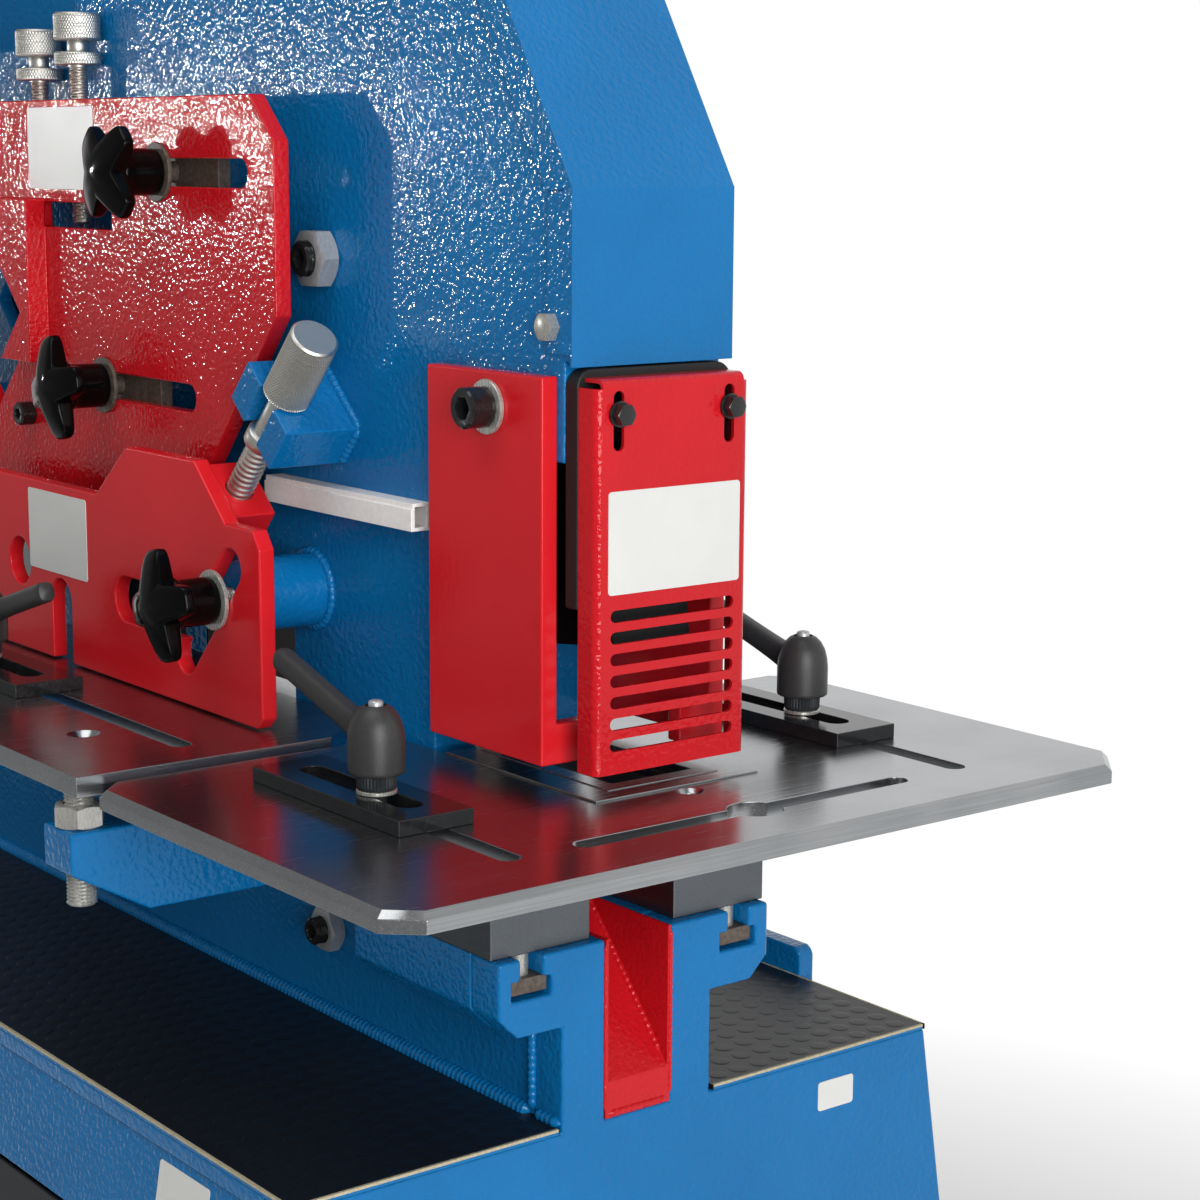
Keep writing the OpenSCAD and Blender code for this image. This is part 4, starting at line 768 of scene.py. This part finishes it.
def coin_studs(x_range, y_range, z):
    """Low domes on a square pitch: the rim rises over the outer millimetre, the middle is nearly flat."""
    xs = np.arange(x_range[0] + STUD_PITCH, x_range[1] - STUD_PITCH / 2, STUD_PITCH)
    ys = np.arange(y_range[0] + STUD_PITCH * 0.8, y_range[1] - STUD_PITCH * 0.6, STUD_PITCH)
    r = STUD_D / 2
    dome = lathe([(r, -0.1), (r - 0.7, STUD_H * 0.6), (r - 2.0, STUD_H * 0.95), (0, STUD_H)], 14)
    return [dome + np.array([x, y, z]) for x in xs for y in ys]


DECK_Z, DECK_END, DECK_SIDE = 720.0, 530, 213
studs = coin_studs((-DECK_END, DECK_END), (52, DECK_SIDE), DECK_Z)
studs += [g * np.array([1, -1, 1]) for g in studs]
make("mat_studs", studs, "base", "mat_rubber", "mat_rubber", sharp=70)


def deck_strips(low, high):
    """Strips along the outer edges of both mats, 0.1 mm proud of them, between two heights."""
    end, edge, wide = DECK_END + 0.1, DECK_SIDE + 0.1, 1.6
    out = [bar_grid((-end, edge - wide, low), (end, edge, high)),
           bar_grid((end - wide, 52.5, low), (end, edge, high)),
           bar_grid((-end, 50.5, low), (wide - end, edge, high))]
    return [g * np.array([1, side, 1]) for g in out for side in (-1, 1)]


make("mat_cut_edges", deck_strips(718.6, 720.1), "base", "mat_rubber", "mat_edge", sharp=30)
make("deck_edges", deck_strips(717.05, 718.6), "base", "blue_paint", "blue_paint", sharp=30)
print("coin studs:", len(studs))

# %% [markdown]
# ## Weld beads
#
# The boss, the fork block, the arms, the chute and the webs are welded on, and the paint goes over the beads.
# A bead is a circle carried along the seam, with ripples about 4 mm apart where the pool froze.

# %% Welds
def bead(path, radius, closed=False):
    """A circle along a polyline, its radius swelling by a tenth in ripples 4 mm apart."""
    line = fine(path, 1.0)
    if closed:
        line = line[:-1]
    along = np.roll(line, -1, 0) - np.roll(line, 1, 0) if closed else np.gradient(line, axis=0)
    along /= np.linalg.norm(along, axis=1, keepdims=True)
    side = np.cross(along, np.array([0.31, 0.53, 0.79]))
    side /= np.linalg.norm(side, axis=1, keepdims=True)
    up = np.cross(along, side)
    steps = np.arange(len(line))
    swell = radius * (1 + 0.12 * np.sin(2 * np.pi * steps / 4.0))
    if not closed:
        swell = swell * np.clip(np.minimum(steps, len(line) - 1 - steps) / 3.0, 0, 1)
    angle = circle(10)[:, None]
    grid = line + swell[:, None] * (np.cos(angle) * side + np.sin(angle) * up)
    return np.concatenate([grid, grid[:, :1]], 1) if closed else grid


def ring(x, y, z, radius):
    """A closed circle of points about an axis along Y."""
    a = np.linspace(0, 2 * np.pi, 73)
    return np.column_stack([x + radius * np.cos(a), np.full_like(a, y), z + radius * np.sin(a)])


# Seams on the body run half a millimetre in front of its face
SEAM = BODY_FACE + 0.5


def clamp_point(s, n):
    """A point s along the clamp screw from the lug's face and n square to it, at the body's face."""
    x = LUG[0] + s * math.sin(TILT) + n * math.cos(TILT)
    return (x, -SEAM, LUG[2] + s * math.cos(TILT) - n * math.sin(TILT))


FORK_CORNERS = ((48, -27), (48, 27), (77, 27), (77, -27), (48, -27))
ARM_SIDES = (338, 370, 12, 44)
blue_beads = [bead(ring(BOSS_X, -SEAM, BOSS_Z, 21.5), 2.6, True)]
fork = [clamp_point(*corner) for corner in FORK_CORNERS]
blue_beads += [bead(pair, 2.8) for pair in zip(fork[:-1], fork[1:])]
blue_beads += [bead([(x, -SEAM, 829), (x, -SEAM, 890)], 2.6) for x in ARM_SIDES]
for y in (-SEAM, SEAM):
    blue_beads.append(bead([(507, y, 722), (529, y, 722)], 3.0))
    blue_beads.append(bead([(504.5, y, 722), (504.5, y, 772)], 2.5))
    blue_beads.append(bead([(-300, y, 721), (503, y, 721)], 4.6))
make("blue_weld_beads", blue_beads, "base", "blue_paint", "blue_paint", sharp=60)
red_beads = [bead([(529.2, -20.5, 720.5), (529.2, 20.5, 720.5)], 2.2)]
red_beads.append(bead([(444, 19.3, 834), (524, 19.3, 744)], 2.4))
red_beads += [bead([(529.4, s * 21.6, 722), (529.4, s * 21.6, 814)], 1.4) for s in (-1, 1)]
make("chute_weld_beads", red_beads, "base", "red_paint", "red_paint", sharp=60)
print("weld beads:", len(blue_beads) + len(red_beads))

# %% [markdown]
# ## Bare plates
#
# Plain foil plates are stuck on the guards and the base. Each is thinner than half a millimetre, but it is a
# solid with rounded corners, because its edge catches the light.

# %% Blank plates
FOIL_CORNER, FOIL_SUNK, FOIL_RAISED = 2.0, 0.1, 0.4


def foil(centre, across, up, width, height):
    """A rounded rectangle: its outline, four quarter circles, is carried up and closed to a point."""
    turns = np.linspace(0, 2 * np.pi, 48, endpoint=False)
    quarter = (np.floor(turns / (np.pi / 2))).astype(int)
    sx = np.array([1, -1, -1, 1])[quarter]
    sy = np.array([1, 1, -1, -1])[quarter]
    a = sx * (width / 2 - FOIL_CORNER) + FOIL_CORNER * np.cos(turns)
    b = sy * (height / 2 - FOIL_CORNER) + FOIL_CORNER * np.sin(turns)
    across, up = np.array(across, float), np.array(up, float)
    out = np.cross(across, up)
    flat = a[:, None] * across + b[:, None] * up
    middle = np.zeros_like(flat)
    low, high = -out * FOIL_SUNK, out * FOIL_RAISED
    rows = [middle + low, flat + low, flat + high, middle + high]
    return np.stack(rows, 1) + np.array(centre, float)


ALONG_X, ALONG_Y = (1, 0, 0), (0, 1, 0)
FLOOR_W, DECK_W, PANEL_H = 656, 426, 705
SLOPE = math.atan((FLOOR_W - DECK_W) / 2 / PANEL_H)
DOWN = np.array([0, -math.sin(SLOPE), -math.cos(SLOPE)])
OUT = np.array([0, -math.cos(SLOPE), math.sin(SLOPE)])
apron = np.array([426, -DECK_SIDE, 717]) + 52 * DOWN - 3.05 * OUT
on_base = [
    foil((DECK_END, 143, 694.6), ALONG_Y, UPRIGHT, 26.7, 17),
    foil((60.8, UPPER_FACE, 1217.5), ALONG_X, UPRIGHT, 90, 50),
    foil(apron, ALONG_X, -DOWN, 52, 74),
]
on_guard = [foil((GUARD_FACE, 0.6, 1027.4), ALONG_Y, UPRIGHT, 84.6, 51.4)]
on_hold_down = [foil((97.5, LOWER_FACE, 983.6), ALONG_X, UPRIGHT, 79, 50)]
for name, plates, body in (("blank_plates", on_base, "base"), ("guard_blank_plate", on_guard, "end_guard"),
                           ("hold_down_blank_plate", on_hold_down, "lower_hold_down")):
    make(name, plates, body, "rail_aluminium", "plate_foil", sharp=30)
print("blank plates placed")

# %% [markdown]
# ## Camera
#
# The camera stands where the photographer's did: its place, direction and lens come from the vanishing lines
# of the table and the body. The frame is square, so the lens is set against a 36 mm wide sensor.

# %% Camera
CAMERA_AT = np.array([1508.3, -789.6, 1215.2]) * MM
RIGHT = np.array([0.6141, 0.7892, 0.0047])
UP = np.array([-0.1410, 0.1038, 0.9846])
BACK = np.array([0.7765, -0.6053, 0.1750])
lens = bpy.data.cameras.new("camera")
lens.lens = 75.19
lens.sensor_fit = "HORIZONTAL"
lens.sensor_width = 36.0
lens.clip_start = 0.05
lens.clip_end = 60.0
camera = bpy.data.objects.new("camera", lens)
scene.collection.objects.link(camera)
pose = Matrix(np.column_stack([RIGHT, UP, BACK]).tolist()).to_4x4()
pose.translation = CAMERA_AT.tolist()
camera.matrix_world = pose
scene.camera = camera
print("camera at", CAMERA_AT.round(3).tolist(), "lens", lens.lens)

# %% [markdown]
# ## Studio
#
# A broad fill lamp from the right and one from above give the soft light. A small weak key from the
# operator's left makes the glints in the paint and the crisp shadow of the upper knob. Floor and air are
# white to the camera. In mirrored rays they grow darker towards the photographer and overhead, as a real room
# does, so that the paint keeps its colour.

# %% Light and backdrop
def softbox(name, at, target, size, power, spread=180):
    """A square area lamp at a point, turned towards a target; a honeycomb grid narrows its spread."""
    data = bpy.data.lights.new(name, "AREA")
    data.shape = "SQUARE"
    data.size = size
    data.energy = power
    data.spread = math.radians(spread)
    lamp = bpy.data.objects.new(name, data)
    scene.collection.objects.link(lamp)
    lamp.location = at
    lamp.rotation_euler = (Vector(at) - Vector(target)).to_track_quat("Z", "Y").to_euler()


softbox("key", (-1.95, -1.38, 1.24), (0.2, -0.05, 1.32), 0.05, 0.085, 15)
softbox("fill", (2.9, -0.9, 1.45), (0.4, 0.0, 0.95), 1.6, 74)
softbox("top", (0.6, -0.9, 3.4), (0.4, 0.0, 0.9), 2.0, 30)


def looked_at(tree):
    """1 for the rays that show a surface (camera, mirror, glass), 0 for those that light others."""
    path = add(tree, "ShaderNodeLightPath")
    rays = [path.outputs[kind] for kind in ("Is Camera Ray", "Is Glossy Ray", "Is Transmission Ray")]
    either = add(tree, "ShaderNodeMath", {0: rays[0], 1: rays[1]}, operation="MAXIMUM")
    mask = add(tree, "ShaderNodeMath", {0: either.outputs["Value"], 1: rays[2]}, operation="MAXIMUM")
    return mask.outputs["Value"]


def room(tree, y, dark_y, light_y):
    """1 for what the camera sees; in mirrors the room behind the photographer and overhead is dark."""
    mirrored = add(tree, "ShaderNodeLightPath").outputs["Is Glossy Ray"]
    dark = add(tree, "ShaderNodeMapRange", {"Value": y},
               {"From Min": dark_y, "From Max": light_y, "To Min": 0.7, "To Max": 0.0})
    lost = add(tree, "ShaderNodeMath", {0: mirrored, 1: dark.outputs["Result"]}, operation="MULTIPLY")
    left = add(tree, "ShaderNodeMath", {1: lost.outputs["Value"]}, {0: 1.0}, operation="SUBTRACT")
    return left.outputs["Value"]


world = bpy.data.worlds.new("studio")
scene.world = world
world.use_nodes = True
tree = world.node_tree
air = tree.nodes["Background"]
air.inputs["Color"].default_value = (1, 1, 1, 1)
ray = add(tree, "ShaderNodeTexCoord").outputs["Generated"]
heading = add(tree, "ShaderNodeSeparateXYZ", {"Vector": ray})
# Low where a ray heads for the photographer or upwards
backwards = add(tree, "ShaderNodeMath", {0: heading.outputs["Z"], 2: heading.outputs["Y"]}, {1: -0.7},
                operation="MULTIPLY_ADD")
brightness = span(tree, looked_at(tree), 0.27, 1.0)
level = room(tree, backwards.outputs["Value"], -0.35, 0.1)
sky = add(tree, "ShaderNodeMath", {0: brightness, 1: level}, operation="MULTIPLY")
tree.links.new(sky.outputs["Value"], air.inputs["Strength"])

floor_mesh = bpy.data.meshes.new("floor")
FAR = 9.0
floor_mesh.from_pydata([(-FAR, -FAR, 0), (FAR, -FAR, 0), (FAR, FAR, 0), (-FAR, FAR, 0)], [], [(0, 1, 2, 3)])
floor = bpy.data.objects.new("floor", floor_mesh)
scene.collection.objects.link(floor)
material, tree, shader, place = new_material("floor_paper")
shader.inputs["Base Color"].default_value = paint("#EFEFED")
shader.inputs["Roughness"].default_value = 0.9
away = add(tree, "ShaderNodeVectorMath", {0: place}, operation="LENGTH").outputs["Value"]
fade = add(tree, "ShaderNodeMapRange", {"Value": away}, {"From Min": 0.9, "From Max": 1.9}).outputs["Result"]
shown = add(tree, "ShaderNodeMath", {0: fade, 1: looked_at(tree)}, operation="MULTIPLY").outputs["Value"]
spot = add(tree, "ShaderNodeSeparateXYZ", {"Vector": place})
level = room(tree, spot.outputs["Y"], -1.5, -0.3)
white = add(tree, "ShaderNodeEmission", {"Strength": level}).outputs["Emission"]
mix = add(tree, "ShaderNodeMixShader", {0: shown, 1: shader.outputs["BSDF"], 2: white})
tree.links.new(mix.outputs["Shader"], tree.nodes["Material Output"].inputs["Surface"])
floor_mesh.materials.append(material)
scene.view_settings.view_transform = "Standard"
print("studio ready")
